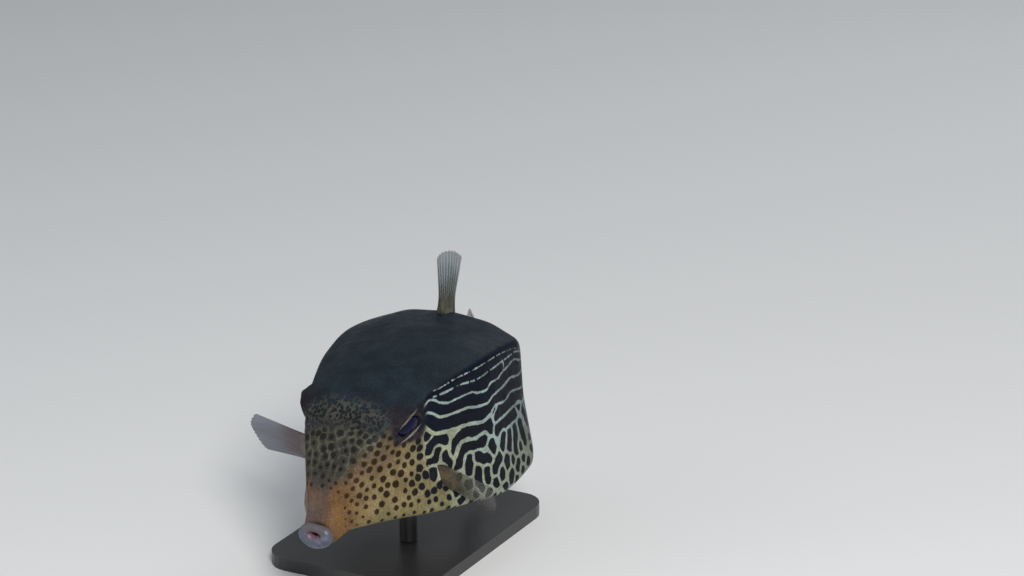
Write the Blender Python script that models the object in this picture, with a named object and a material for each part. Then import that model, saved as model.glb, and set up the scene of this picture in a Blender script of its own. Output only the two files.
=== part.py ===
"""Reticulate boxfish, a still life-size display model on a plain stand.

The fish faces -Y with its left side towards +X and stands upright along +Z. Lengths below are in
millimetres. A place on the body is given by t, the distance behind a plane just ahead of the lips,
by x, towards the fish's left, and by z, the height above the lowest line of the belly.
"""
import math
from collections import namedtuple

import bmesh
import bpy
import numpy as np
from mathutils import Vector

MM = 0.001

# Whole model
STAND_BASE_THICKNESS = 3.0
STAND_ROD_HEIGHT = 12.0
BELLY_HEIGHT = STAND_BASE_THICKNESS + STAND_ROD_HEIGHT
# the t and the x of the model's middle, measured once the fins and the bent tail were in place
CENTRE_T = 47.25
MIDLINE_X = 4.41
PART_GAP = 0.3

# Box-shaped body: the corners of its cross-sections, from the snout to the back end of the shell
Station = namedtuple("Station", "t back_z ridge_z ridge_w flank_w keel_w keel_z belly_z rounding")
BODY = (
    Station(2.2, 7.4, 6.2, 3.3, 3.8, 3.2, 2.2, 0.9, 0.95),
    Station(4.2, 10.8, 9.4, 3.8, 4.1, 4.0, 2.6, 1.4, 0.95),
    Station(7.0, 17.3, 15.2, 5.9, 5.7, 6.2, 4.3, 3.1, 0.85),
    Station(11.5, 24.8, 22.2, 8.8, 8.2, 9.6, 4.5, 3.3, 0.6),
    Station(17.0, 30.0, 27.0, 11.7, 10.6, 12.5, 4.1, 2.9, 0.45),
    Station(24.0, 33.2, 29.9, 14.2, 13.2, 15.8, 3.3, 2.0, 0.36),
    Station(34.0, 36.2, 32.4, 17.0, 16.8, 19.6, 2.4, 1.0, 0.32),
    Station(46.0, 37.8, 33.6, 18.6, 19.4, 22.8, 1.6, 0.0, 0.32),
    Station(58.0, 36.8, 32.6, 18.0, 19.0, 22.2, 2.8, 1.2, 0.34),
    Station(67.0, 32.6, 28.8, 14.2, 14.8, 16.8, 6.4, 4.8, 0.5),
    Station(72.5, 26.2, 23.8, 7.6, 7.8, 8.4, 11.4, 10.0, 0.85),
)
SNOUT_T = BODY[0].t
SHELL_END_T = BODY[-1].t
HEAD_END_T = 26.6
HEAD_SPACING = 1.3
SHELL_SPACING = 1.8
SHELL_CROWDING = 0.75
# facets of each stretch of a cross-section, and the finer points between them that ease its corners
FACETS_BACK = 5
FACETS_FLANK = 6
FACETS_BELLY = 4
FINE = 8
# back and belly are slightly domed: a middle point at this share of the width has fallen by this share
CORNER_DOME = 0.55
CORNER_FALL = 0.24
SLOPE_STEP = 0.6

# Eyes just under the ridge, turned a little down under the brow, each in a socket with a raised lid
EYE_T = 19.6
EYE_Z = 24.8
EYE_AXIS = (0.88, -0.31, -0.36)
EYE_RADIUS = 3.15
EYE_FLATNESS = 0.6
EYE_PROUD = 1.1
LID_RING_RADIUS = 3.35
LID_THICKNESS = 0.62
BROW_RADIUS = 4.4
BROW_FLATNESS = 0.31
BROW_SUNK = 0.9

# Nostrils, two small pits on each side, and the gill slit in front of each breast fin
NOSTRILS = ((15.2, 22.6), (13.9, 21.4))
NOSTRIL_RADIUS = 0.48
GILL_T = 25.4
GILL_Z = 13.2
GILL_HALF_HEIGHT = 3.9
GILL_HALF_WIDTH = 0.42
GILL_DEPTH = 1.3

# Mouth, a ring of thick lips
LIP_PATH_WIDTH = 2.85
LIP_PATH_HEIGHT = 1.55
LIP_THICKNESS = 1.22
LIP_UNEVENNESS = 0.2
LIP_CENTRE_Z = 4.1
LIP_FORWARD = 0.75

# Tail stalk: distance along it, half width and half height
TAIL_ROOT_Z = 16.8
TAIL_LENGTH = 12.0
TAIL_BEND = math.radians(42.0)
TAIL_SECTIONS = ((0.0, 4.9, 6.4), (4.0, 3.6, 5.8), (8.0, 2.5, 5.1), (12.0, 1.8, 4.8))
TAIL_FACETS = 28

# Stand
STAND_LENGTH = 58.0
STAND_WIDTH = 42.0
STAND_CORNER = 6.0
STAND_ROD_RADIUS = 2.0
STAND_ROD_T = 40.0
STAND_ROD_SUNK = 2.0

# Fins: number of rays, how far the edge bulges, how deep the sheet cups, half the root's thickness
FanStyle = namedtuple("FanStyle", "rays bulge cup root_half")
DORSAL_FAN = FanStyle(9, 1.6, 0.8, 1.15)
ANAL_FAN = FanStyle(9, 1.4, 0.6, 1.1)
PECTORAL_FAN = FanStyle(11, 2.2, -1.2, 1.1)
CAUDAL_FAN = FanStyle(10, 1.8, 0.9, 1.2)
FIN_MEMBRANE_HALF = 0.26
FIN_RAY_RISE = 0.18
FIN_RAY_HALF_WIDTH = 0.2
FIN_ROWS = 8
FIN_SUNK = 0.16
FIN_FLESHY_SHARE = 0.5
# where the root of each fin on the midline lies, then how far its front and rear edge reach back and up
DORSAL_ROOT = (55.8, 61.3)
DORSAL_REACH = ((-0.4, 13.0), (5.6, 11.6))
ANAL_ROOT = (60.5, 66.0)
ANAL_REACH = ((5.0, -8.4), (8.5, -8.2))
PECTORAL_T = (28.6, 29.6)
PECTORAL_Z = (13.2, 7.6)
# how far the upper and the lower edge of each breast fin reach outwards, backwards and upwards
PECTORAL_REACH = {
    "left": ((9.5, 4.0, -5.0), (6.5, 5.0, -6.5)),
    "right": ((17.5, 1.5, 3.0), (16.0, 5.0, -1.5)),
}
CAUDAL_ROOT_HALF = 4.5
CAUDAL_TIP_HALF = 7.8
CAUDAL_LENGTH = 13.5
# the grown body that cuts the fins' roots starts this far ahead of the shell
CLEARANCE_LEAD = 6.0


def place(t, x, z):
    """A body place in millimetres as a point of the model in metres."""
    return Vector(((x + MIDLINE_X) * MM, (t - CENTRE_T) * MM, (z + BELLY_HEIGHT) * MM))


def smooth_through(knots, values, at):
    """Values between knots by a monotone cubic, so that a profile never bulges past its stations."""
    knots = np.asarray(knots, float)
    values = np.asarray(values, float)
    width = np.diff(knots)[:, None]
    slope = np.diff(values, axis=0) / width
    tangent = np.zeros_like(values)
    before, after = slope[:-1], slope[1:]
    same_way = before * after > 0
    with np.errstate(divide="ignore", invalid="ignore"):
        mean = 2 * before * after / (before + after)
    tangent[1:-1] = np.where(same_way, mean, 0.0)
    tangent[0] = slope[0]
    tangent[-1] = slope[-1]
    k = int(np.clip(np.searchsorted(knots, at) - 1, 0, len(knots) - 2))
    h = knots[k + 1] - knots[k]
    u = (at - knots[k]) / h
    rise = (1 + 2 * u) * (1 - u) ** 2 * values[k] + u * u * (3 - 2 * u) * values[k + 1]
    return rise + u * (1 - u) ** 2 * h * tangent[k] + u * u * (u - 1) * h * tangent[k + 1]


def body_outline(t, spread=0.0):
    """The cross-section at t as (x, z) points, starting at the middle of the back."""
    table = np.array(BODY)
    row = Station(t, *smooth_through(table[:, 0], table[:, 1:], t))
    half = (
        (0.0, row.back_z, FACETS_BACK),
        (row.ridge_w * CORNER_DOME, row.back_z - (row.back_z - row.ridge_z) * CORNER_FALL, FACETS_BACK),
        (row.ridge_w, row.ridge_z, FACETS_FLANK),
        (row.flank_w, (row.ridge_z + row.keel_z) / 2, FACETS_FLANK),
        (row.keel_w, row.keel_z, FACETS_BELLY),
        (row.keel_w * CORNER_DOME, row.belly_z + (row.keel_z - row.belly_z) * CORNER_FALL, FACETS_BELLY),
        (0.0, row.belly_z, 0),
    )
    points = []
    for (x0, z0, facets), (x1, z1, _) in zip(half[:-1], half[1:]):
        for k in range(facets * FINE):
            share = k / (facets * FINE)
            points.append((x0 + (x1 - x0) * share, z0 + (z1 - z0) * share))
    points.append(half[-1][:2])
    mirrored = [(-x, z) for x, z in reversed(points[1:-1])]
    loop = np.array(points + mirrored)
    window = max(1, int(row.rounding * FACETS_FLANK * FINE / 2))
    for _ in range(3):
        total = np.zeros_like(loop)
        for shift in range(-(window // 2), window // 2 + 1):
            total += np.roll(loop, shift, axis=0)
        loop = total / (2 * (window // 2) + 1)
    if spread:
        along = np.roll(loop, -1, axis=0) - np.roll(loop, 1, axis=0)
        normal = np.stack([-along[:, 1], along[:, 0]], axis=1)
        normal /= np.linalg.norm(normal, axis=1)[:, None]
        centre = loop.mean(axis=0)
        outward = np.sign(((loop - centre) * normal).sum(axis=1))[:, None]
        loop = loop + normal * outward * spread
    return loop[::FINE]


def flank_point(t, z):
    """The point of the left side at height z and the outward direction there."""
    def side_x(t_at, z_at):
        ring = body_outline(t_at)
        left = ring[: len(ring) // 2 + 1]
        order = np.argsort(left[:, 1])
        return float(np.interp(z_at, left[order, 1], left[order, 0]))

    x = side_x(t, z)
    slope_t = (side_x(t + SLOPE_STEP, z) - side_x(t - SLOPE_STEP, z)) / (2 * SLOPE_STEP)
    slope_z = (side_x(t, z + SLOPE_STEP) - side_x(t, z - SLOPE_STEP)) / (2 * SLOPE_STEP)
    return x, Vector((1.0, -slope_t, -slope_z)).normalized()


def collection(name):
    made = bpy.data.collections.new(name)
    bpy.context.scene.collection.children.link(made)
    return made


def finish(name, colour, roughness):
    """A plain material for one part."""
    material = bpy.data.materials.new(name)
    material.use_nodes = True
    shader = material.node_tree.nodes["Principled BSDF"]
    shader.inputs["Base Color"].default_value = (*colour, 1.0)
    shader.inputs["Roughness"].default_value = roughness
    shader.inputs["Metallic"].default_value = 0.0
    return material


def mesh_object(name, vertices, faces, group):
    mesh = bpy.data.meshes.new(name)
    mesh.from_pydata([tuple(v) for v in vertices], [], faces)
    work = bmesh.new()
    work.from_mesh(mesh)
    bmesh.ops.recalc_face_normals(work, faces=work.faces)
    work.to_mesh(mesh)
    work.free()
    made = bpy.data.objects.new(name, mesh)
    group.objects.link(made)
    return made


def loft(name, rings, group):
    """A closed body through rings of equally many points, with flat ends."""
    count = len(rings[0])
    vertices = [point for ring in rings for point in ring]
    faces = [tuple(range(count))]
    for row in range(len(rings) - 1):
        for k in range(count):
            a = row * count + k
            b = row * count + (k + 1) % count
            faces.append((a, b, b + count, a + count))
    last = (len(rings) - 1) * count
    faces.append(tuple(last + k for k in reversed(range(count))))
    return mesh_object(name, vertices, faces, group)


def rows_between(start, end, spacing, at_end=1.0):
    """Places from start to end, closer together at the end where at_end is under one."""
    count = max(2, round((end - start) / spacing))
    return [start + (end - start) * (1 - (1 - k / count) ** (1 / at_end)) for k in range(count + 1)]


def body_piece(name, start, end, spacing, group, spread=0.0, at_end=1.0):
    rings = []
    for t in rows_between(start, end, spacing, at_end):
        rings.append([place(t, x, z) for x, z in body_outline(t, spread)])
    return loft(name, rings, group)


def keep_largest(made):
    """Keep only the largest closed surface of a node."""
    work = bmesh.new()
    work.from_mesh(made.data)
    left = set(work.verts)
    pieces = []
    while left:
        stack = [left.pop()]
        piece = set(stack)
        while stack:
            for edge in stack.pop().link_edges:
                for other in edge.verts:
                    if other in left:
                        left.discard(other)
                        piece.add(other)
                        stack.append(other)
        pieces.append(piece)
    pieces.sort(key=len)
    for piece in pieces[:-1]:
        bmesh.ops.delete(work, geom=list(piece), context="VERTS")
    work.to_mesh(made.data)
    work.free()


def cut_or_join(made, operation, tools, solver="EXACT"):
    """Apply one Boolean with a set of tool objects, which are removed afterwards."""
    group = collection("tools_for_" + made.name)
    for tool in tools:
        for owner in list(tool.users_collection):
            owner.objects.unlink(tool)
        group.objects.link(tool)
        tool.hide_render = True
        tool.display_type = "WIRE"
    modifier = made.modifiers.new(operation.lower(), "BOOLEAN")
    modifier.operation = operation
    modifier.operand_type = "COLLECTION"
    modifier.collection = group
    modifier.solver = solver
    depsgraph = bpy.context.evaluated_depsgraph_get()
    result = bpy.data.meshes.new_from_object(made.evaluated_get(depsgraph))
    made.modifiers.remove(modifier)
    made.data = result
    for tool in tools:
        bpy.data.objects.remove(tool)
    bpy.data.collections.remove(group)
    keep_largest(made)


def show(made, material, sharp_angle=40.0):
    made.data.materials.clear()
    made.data.materials.append(material)
    made.data.shade_smooth()
    made.data.set_sharp_from_angle(angle=math.radians(sharp_angle))


def ball(name, centre, radius, segments, group, scale=(1.0, 1.0, 1.0), turn=None):
    """A closed ball, or one drawn out or flattened by scale, whose own Z runs along turn."""
    work = bmesh.new()
    bmesh.ops.create_uvsphere(work, u_segments=segments, v_segments=segments // 2 + 2, radius=radius * MM)
    mesh = bpy.data.meshes.new(name)
    bmesh.ops.scale(work, vec=scale, verts=work.verts)
    if turn is not None:
        matrix = turn.to_track_quat("Z", "Y").to_matrix()
        bmesh.ops.rotate(work, cent=(0, 0, 0), matrix=matrix, verts=work.verts)
    bmesh.ops.translate(work, vec=centre, verts=work.verts)
    work.to_mesh(mesh)
    work.free()
    made = bpy.data.objects.new(name, mesh)
    group.objects.link(made)
    return made


def ring_tube(name, points, radii, group):
    """A closed tube along a closed path, thicker or thinner from point to point."""
    curve = bpy.data.curves.new(name, "CURVE")
    curve.dimensions = "3D"
    curve.bevel_depth = MM
    curve.bevel_resolution = 3
    spline = curve.splines.new("POLY")
    spline.points.add(len(points) - 1)
    for node, point, radius in zip(spline.points, points, radii):
        node.co = (*point, 1.0)
        node.radius = radius
    spline.use_cyclic_u = True
    guide = bpy.data.objects.new(name + "_path", curve)
    group.objects.link(guide)
    depsgraph = bpy.context.evaluated_depsgraph_get()
    mesh = bpy.data.meshes.new_from_object(guide.evaluated_get(depsgraph))
    work = bmesh.new()
    work.from_mesh(mesh)
    bmesh.ops.remove_doubles(work, verts=work.verts, dist=1e-6)
    bmesh.ops.recalc_face_normals(work, faces=work.faces)
    work.to_mesh(mesh)
    work.free()
    made = bpy.data.objects.new(name, mesh)
    made.matrix_world = guide.matrix_world
    group.objects.link(made)
    bpy.data.objects.remove(guide)
    return made


def mirrored(outward, side):
    return Vector((outward.x * side, outward.y, outward.z))


def eye_seat(side):
    """Where an eye looks out of the skin and the direction it faces, side being +1 for the left one."""
    x, _ = flank_point(EYE_T, EYE_Z)
    return place(EYE_T, x * side, EYE_Z), mirrored(Vector(EYE_AXIS).normalized(), side)


def eye_centre(side):
    seat, outward = eye_seat(side)
    return seat - outward * (EYE_RADIUS * EYE_FLATNESS - EYE_PROUD) * MM


def lid(side, group):
    """A rim of lid round one eye."""
    seat, outward = eye_seat(side)
    turn = outward.to_track_quat("Z", "Y").to_matrix()
    count = 24
    points = []
    for k in range(count):
        angle = 2 * math.pi * k / count
        across = Vector((math.cos(angle), math.sin(angle), 0.0)) * LID_RING_RADIUS * MM
        points.append(seat + turn @ across)
    return ring_tube("lid", points, [LID_THICKNESS] * count, group)


def brow(side, group):
    """The swelling that carries the lid out from the side of the head."""
    seat, outward = eye_seat(side)
    below = seat - outward * BROW_SUNK * MM
    return ball("brow", below, BROW_RADIUS, 28, group, (1.0, 1.0, BROW_FLATNESS), outward)


def make_head(group):
    """The head with its lids raised, then its sockets, nostrils and gill slits cut in."""
    head = body_piece("head", SNOUT_T, HEAD_END_T - PART_GAP / 2, HEAD_SPACING, group)
    cut_or_join(head, "UNION", [brow(side, group) for side in (1, -1)], "MANIFOLD")
    cut_or_join(head, "UNION", [lid(side, group) for side in (1, -1)], "MANIFOLD")
    cutters = []
    for side in (1, -1):
        _, outward = eye_seat(side)
        flat = (1.0, 1.0, EYE_FLATNESS)
        cutters.append(ball("socket", eye_centre(side), EYE_RADIUS + PART_GAP, 24, group, flat, outward))
        for t, z in NOSTRILS:
            x, _ = flank_point(t, z)
            cutters.append(ball("nostril", place(t, x * side, z), NOSTRIL_RADIUS, 10, group))
        x, outward = flank_point(GILL_T, GILL_Z)
        size = (GILL_HALF_WIDTH, GILL_HALF_HEIGHT, GILL_DEPTH)
        turn = mirrored(outward, side)
        cutters.append(ball("gill", place(GILL_T, x * side, GILL_Z), 1.0, 14, group, size, turn))
    cut_or_join(head, "DIFFERENCE", cutters, "MANIFOLD")
    show(head, finish("spotted_face_skin", (0.42, 0.24, 0.08), 0.5))
    return head


def make_lips(group):
    """The ring of thick lips round the small mouth, flat where it meets the snout."""
    count = 28
    points = []
    radii = []
    for k in range(count):
        angle = 2 * math.pi * k / count
        x = LIP_PATH_WIDTH * math.cos(angle)
        z = LIP_CENTRE_Z + LIP_PATH_HEIGHT * math.sin(angle)
        points.append(place(SNOUT_T - PART_GAP - LIP_FORWARD, x, z))
        radii.append(LIP_THICKNESS * (1.0 - LIP_UNEVENNESS * math.sin(angle)))
    lips = ring_tube("lips", points, radii, group)
    work = bmesh.new()
    work.from_mesh(lips.data)
    cut = bmesh.ops.bisect_plane(
        work,
        geom=work.verts[:] + work.edges[:] + work.faces[:],
        plane_co=place(SNOUT_T - PART_GAP, 0, 0),
        plane_no=(0, 1, 0),
        clear_outer=True,
    )["geom_cut"]
    edges = [e for e in cut if isinstance(e, bmesh.types.BMEdge)]
    bmesh.ops.triangle_fill(work, use_beauty=True, edges=edges)
    bmesh.ops.recalc_face_normals(work, faces=work.faces)
    work.to_mesh(lips.data)
    work.free()
    show(lips, finish("lip_skin", (0.45, 0.42, 0.48), 0.35))
    return lips


def make_shell(group):
    start = HEAD_END_T + PART_GAP / 2
    shell = body_piece("carapace", start, SHELL_END_T, SHELL_SPACING, group, at_end=SHELL_CROWDING)
    show(shell, finish("patterned_shell_skin", (0.03, 0.04, 0.07), 0.45))
    return shell


def tail_axis(distance):
    """Centre and direction of the tail, which bends gently to the fish's right."""
    steps = 40
    x, t = 0.0, SHELL_END_T + PART_GAP
    for k in range(steps):
        share = min(1.0, (k + 0.5) / steps * distance / TAIL_LENGTH)
        angle = TAIL_BEND * share
        x -= math.sin(angle) * distance / steps
        t += math.cos(angle) * distance / steps
    angle = TAIL_BEND * min(1.0, distance / TAIL_LENGTH)
    return x, t, angle


def make_tail_stalk(group):
    rings = []
    table = np.array(TAIL_SECTIONS)
    for distance in rows_between(0.0, TAIL_LENGTH, 1.0):
        half_width, half_height = smooth_through(table[:, 0], table[:, 1:], distance)
        x, t, angle = tail_axis(distance)
        ring = []
        for k in range(TAIL_FACETS):
            around = 2 * math.pi * k / TAIL_FACETS
            across = half_width * math.sin(around)
            ring.append(place(
                t + across * math.sin(angle),
                x + across * math.cos(angle),
                TAIL_ROOT_Z + half_height * math.cos(around),
            ))
        rings.append(ring)
    stalk = loft("tail_peduncle", rings, group)
    show(stalk, finish("spotted_tail_skin", (0.06, 0.06, 0.07), 0.5))
    return stalk


def fin_sheet(name, style, corners, group, sunk=FIN_SUNK):
    """A fan of rays as two like sheets from its sunk root out to its rounded edge.

    The corners are the front and the back of the root, then those of the tip.
    """
    across = [0.0]
    on_ray = [0.0]
    ridge = ((0.5 - FIN_RAY_HALF_WIDTH, 0.0), (0.5, 1.0), (0.5 + FIN_RAY_HALF_WIDTH, 0.0), (1.0, 0.0))
    for ray in range(style.rays):
        for offset, rise in ridge:
            across.append((ray + offset) / style.rays)
            on_ray.append(rise)
    root_front, root_back, tip_front, tip_back = [place(*corner) for corner in corners]
    outward = ((tip_front + tip_back) - (root_front + root_back)).normalized()
    side = (tip_front - root_front).cross(root_back - root_front).normalized()
    columns = len(across)
    sheets = []
    for face in (1, -1):
        for row in range(FIN_ROWS):
            u = -sunk + (1 + sunk) * row / (FIN_ROWS - 1)
            for v, rise in zip(across, on_ray):
                root = root_front.lerp(root_back, v)
                tip = tip_front.lerp(tip_back, v) + outward * style.bulge * MM * (1 - (2 * v - 1) ** 2)
                point = root + (tip - root) * u
                point += side * style.cup * MM * math.sin(math.pi * v) * max(u, 0.0) ** 2
                fleshy = max(0.0, 1 - max(u, 0.0) / FIN_FLESHY_SHARE) ** 1.5
                half = FIN_MEMBRANE_HALF + (style.root_half - FIN_MEMBRANE_HALF) * fleshy
                half += FIN_RAY_RISE * rise * (1 - fleshy)
                sheets.append(point + side * face * half * MM)
    back = columns * FIN_ROWS
    faces = []
    for row in range(FIN_ROWS - 1):
        for k in range(columns - 1):
            a = row * columns + k
            b, c, d = a + 1, a + 1 + columns, a + columns
            faces += [(a, b, c), (a, c, d), (back + c, back + b, back + a), (back + d, back + c, back + a)]
    for k in range(columns - 1):
        top = (FIN_ROWS - 1) * columns + k
        faces.append((k + 1, k, back + k, back + k + 1))
        faces.append((top, top + 1, back + top + 1, back + top))
    for row in range(FIN_ROWS - 1):
        left = row * columns
        right = left + columns - 1
        faces.append((left, left + columns, back + left + columns, back + left))
        faces.append((right + columns, right, back + right, back + right + columns))
    return mesh_object(name, sheets, faces, group)


def back_z(t):
    return float(body_outline(t)[:, 1].max())


def belly_z(t):
    return float(body_outline(t)[:, 1].min())


def body_clearance(group):
    """The body grown by the gap between parts, to cut roots that end on it."""
    start = HEAD_END_T - CLEARANCE_LEAD
    return body_piece("clearance", start, SHELL_END_T, SHELL_SPACING, group, PART_GAP, SHELL_CROWDING)


def midline_corners(root, reach, edge_z):
    """Corners of a fin that stands on the midline of the back or hangs from that of the belly."""
    roots = [(t, 0, edge_z(t)) for t in root]
    tips = [(t + back, 0, edge_z(t) + up) for t, (back, up) in zip(root, reach)]
    return roots + tips


def breast_corners(side, reach):
    """Corners of a breast fin, side being +1 for the left one."""
    roots = []
    tips = []
    for t, z, (out, back, up) in zip(PECTORAL_T, PECTORAL_Z, reach):
        x, _ = flank_point(t, z)
        roots.append((t, x * side, z))
        tips.append((t + back, (x + out) * side, z + up))
    return roots + tips


def make_fins(group):
    flesh = finish("fin_flesh", (0.5, 0.3, 0.1), 0.45)
    sheets = [
        fin_sheet("dorsal_fin", DORSAL_FAN, midline_corners(DORSAL_ROOT, DORSAL_REACH, back_z), group),
        fin_sheet("anal_fin", ANAL_FAN, midline_corners(ANAL_ROOT, ANAL_REACH, belly_z), group),
    ]
    for side, label in ((1, "left"), (-1, "right")):
        style = PECTORAL_FAN._replace(cup=PECTORAL_FAN.cup * side)
        corners = breast_corners(side, PECTORAL_REACH[label])
        sheets.append(fin_sheet("pectoral_fin_" + label, style, corners, group))
    for sheet in sheets:
        cut_or_join(sheet, "DIFFERENCE", [body_clearance(group)])
        show(sheet, flesh)


def make_tail_fin(group):
    x, t, angle = tail_axis(TAIL_LENGTH)
    corners = []
    for distance, half in ((PART_GAP, CAUDAL_ROOT_HALF), (CAUDAL_LENGTH, CAUDAL_TIP_HALF)):
        for z in (half, -half):
            corners.append((t + math.cos(angle) * distance, x - math.sin(angle) * distance, TAIL_ROOT_Z + z))
    made = fin_sheet("caudal_fin", CAUDAL_FAN, corners, group, sunk=0.0)
    show(made, finish("tail_fin_skin", (0.2, 0.17, 0.1), 0.45))


def make_eyes(group):
    shine = finish("eye_gloss", (0.02, 0.02, 0.05), 0.05)
    for side, label in ((1, "left"), (-1, "right")):
        _, outward = eye_seat(side)
        flat = (1.0, 1.0, EYE_FLATNESS)
        show(ball("eye_" + label, eye_centre(side), EYE_RADIUS, 20, group, flat, outward), shine)


def make_stand(group):
    """A flat base with rounded corners and one rod that reaches up to the belly."""
    plastic = finish("stand_plastic", (0.03, 0.03, 0.035), 0.35)
    work = bmesh.new()
    bmesh.ops.create_cube(work, size=1.0)
    size = (STAND_WIDTH * MM, STAND_LENGTH * MM, STAND_BASE_THICKNESS * MM)
    bmesh.ops.scale(work, vec=size, verts=work.verts)
    bmesh.ops.translate(work, vec=(0, 0, STAND_BASE_THICKNESS * MM / 2), verts=work.verts)
    upright = [e for e in work.edges if abs(e.verts[0].co.z - e.verts[1].co.z) > MM]
    bmesh.ops.bevel(work, geom=upright, offset=STAND_CORNER * MM, segments=6, profile=0.5, affect="EDGES")
    mesh = bpy.data.meshes.new("stand_base")
    work.to_mesh(mesh)
    work.free()
    base = bpy.data.objects.new("stand_base", mesh)
    group.objects.link(base)
    show(base, plastic)

    length = STAND_ROD_HEIGHT + STAND_ROD_SUNK - PART_GAP
    work = bmesh.new()
    radius = STAND_ROD_RADIUS * MM
    bmesh.ops.create_cone(
        work, cap_ends=True, segments=28, radius1=radius, radius2=radius, depth=length * MM
    )
    foot = place(STAND_ROD_T, 0, 0)
    middle = (foot.x, foot.y, (STAND_BASE_THICKNESS + PART_GAP + length / 2) * MM)
    bmesh.ops.translate(work, vec=middle, verts=work.verts)
    mesh = bpy.data.meshes.new("stand_rod")
    work.to_mesh(mesh)
    work.free()
    rod = bpy.data.objects.new("stand_rod", mesh)
    group.objects.link(rod)
    cut_or_join(rod, "DIFFERENCE", [body_clearance(group)])
    show(rod, plastic)


def main():
    for old in list(bpy.data.objects):
        bpy.data.objects.remove(old)
    fish = collection("reticulate_boxfish")
    make_head(fish)
    make_lips(fish)
    make_shell(fish)
    make_tail_stalk(fish)
    make_tail_fin(fish)
    make_fins(fish)
    make_eyes(fish)
    make_stand(fish)


main()
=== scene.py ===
import math
from collections import namedtuple
from itertools import product

import bmesh
import bpy
import numpy as np
from mathutils import Matrix, Vector, kdtree


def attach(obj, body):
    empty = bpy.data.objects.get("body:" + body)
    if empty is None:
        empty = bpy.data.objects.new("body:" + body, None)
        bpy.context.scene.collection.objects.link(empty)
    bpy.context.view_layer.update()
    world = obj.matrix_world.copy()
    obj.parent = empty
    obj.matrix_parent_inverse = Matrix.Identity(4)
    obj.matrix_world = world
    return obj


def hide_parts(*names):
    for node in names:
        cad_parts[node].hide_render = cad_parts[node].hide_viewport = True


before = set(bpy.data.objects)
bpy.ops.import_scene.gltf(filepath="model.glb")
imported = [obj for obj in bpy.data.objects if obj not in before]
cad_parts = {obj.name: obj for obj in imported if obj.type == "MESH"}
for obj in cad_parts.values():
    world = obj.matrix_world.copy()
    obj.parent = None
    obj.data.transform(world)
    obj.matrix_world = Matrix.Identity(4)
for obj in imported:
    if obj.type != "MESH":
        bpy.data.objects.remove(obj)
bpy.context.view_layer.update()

# A reticulate boxfish on its stand. Lengths are in millimetres unless a line says otherwise. A place on
# the body is (x, t, z): towards the fish's left, behind the front of the snout, above the lowest belly.
MM = 0.001
# what is added to a place on the body to make it a place of the model
BODY_SHIFT = np.array((4.41, -47.25, 15.0))

# the cross-sections of the body, each with the heights and half widths that Station names
Station = namedtuple("Station", "t back_z ridge_z ridge_w flank_w keel_w keel_z belly_z rounding")
BODY = np.array((
    (2.2, 7.4, 6.2, 3.3, 3.8, 3.2, 2.2, 0.9, 0.95),
    (4.2, 10.8, 9.4, 3.8, 4.1, 4.0, 2.6, 1.4, 0.95),
    (7.0, 17.3, 15.2, 5.9, 5.7, 6.2, 4.3, 3.1, 0.85),
    (11.5, 24.8, 22.2, 8.8, 8.2, 9.6, 4.5, 3.3, 0.6),
    (17.0, 30.0, 27.0, 11.7, 10.6, 12.5, 4.1, 2.9, 0.45),
    (24.0, 33.2, 29.9, 14.2, 13.2, 15.8, 3.3, 2.0, 0.36),
    (34.0, 36.2, 32.4, 17.0, 16.8, 19.6, 2.4, 1.0, 0.32),
    (46.0, 37.8, 33.6, 18.6, 19.4, 22.8, 1.6, 0.0, 0.32),
    (58.0, 36.8, 32.6, 18.0, 19.0, 22.2, 2.8, 1.2, 0.34),
    (67.0, 32.6, 28.8, 14.2, 14.8, 16.8, 6.4, 4.8, 0.5),
    (72.5, 26.2, 23.8, 7.6, 7.8, 8.4, 11.4, 10.0, 0.85),
))
SNOUT_T = 2.2
SHELL_END_T = 72.5
CORNER_DOME = 0.55
CORNER_FALL = 0.24
# points of one half of a cross-section: along the back, the flank and the belly
BACK_POINTS = 80
FLANK_POINTS = 96
BELLY_POINTS = 64
LOOP_POINTS = 2 * (BACK_POINTS + FLANK_POINTS + BELLY_POINTS)
KEEL_POINT = BACK_POINTS + FLANK_POINTS

TAIL_ROOT_Z = 16.8
TAIL_LENGTH = 12.0
TAIL_BEND = math.radians(42.0)
TAIL_SECTIONS = np.array(((0.0, 4.9, 6.4), (4.0, 3.6, 5.8), (8.0, 2.5, 5.1), (12.0, 1.8, 4.8)))

# the photo's camera: its angles about the fish in degrees, its focal length and picture in pixels, and
# where the middle of the fish lies in that picture
CAMERA_ANGLES = (28.4, 18.8, -0.5)
FOCAL_PX = 3150.0
PHOTO_PX = (1024.0, 576.0)
AIM_PX = (406.0, 415.3)
SENSOR_WIDTH = 36.0
# the long way of the eye as the photo shows it: so much to the right for so much up
EYE_LONG_WAY = (0.652, 0.758)
EYE_T = 19.6
EYE_Z = 24.8
EYE_AXIS = np.array((0.88, -0.31, -0.36)) / math.hypot(0.88, 0.31, 0.36)
EYE_RADIUS = 3.15
EYE_DEPTH = EYE_RADIUS * 0.6
EYE_PROUD = 1.1
LID_RING_RADIUS = 3.35
LID_THICKNESS = 0.62
BROW_RADIUS = 4.4
BROW_DEPTH = BROW_RADIUS * 0.31
BROW_SUNK = 0.9
NOSTRILS = ((15.2, 22.6), (13.9, 21.4))
GILL_T = 25.4
GILL_Z = 13.2
GILL_HALF_HEIGHT = 3.9
MOUTH_Z = 4.1
LIP_T = 1.15
LIP_THICKNESS = 1.22


def to_model(body):
    """Body places (x, t, z) in millimetres as model points in metres."""
    return (np.asarray(body, float) + BODY_SHIFT) * MM


def ease(low, high, value):
    """0 at low, 1 at high, smooth between; low may be the larger."""
    u = np.clip((np.asarray(value, float) - low) / (high - low), 0, 1)
    return u * u * (3 - 2 * u)


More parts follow.
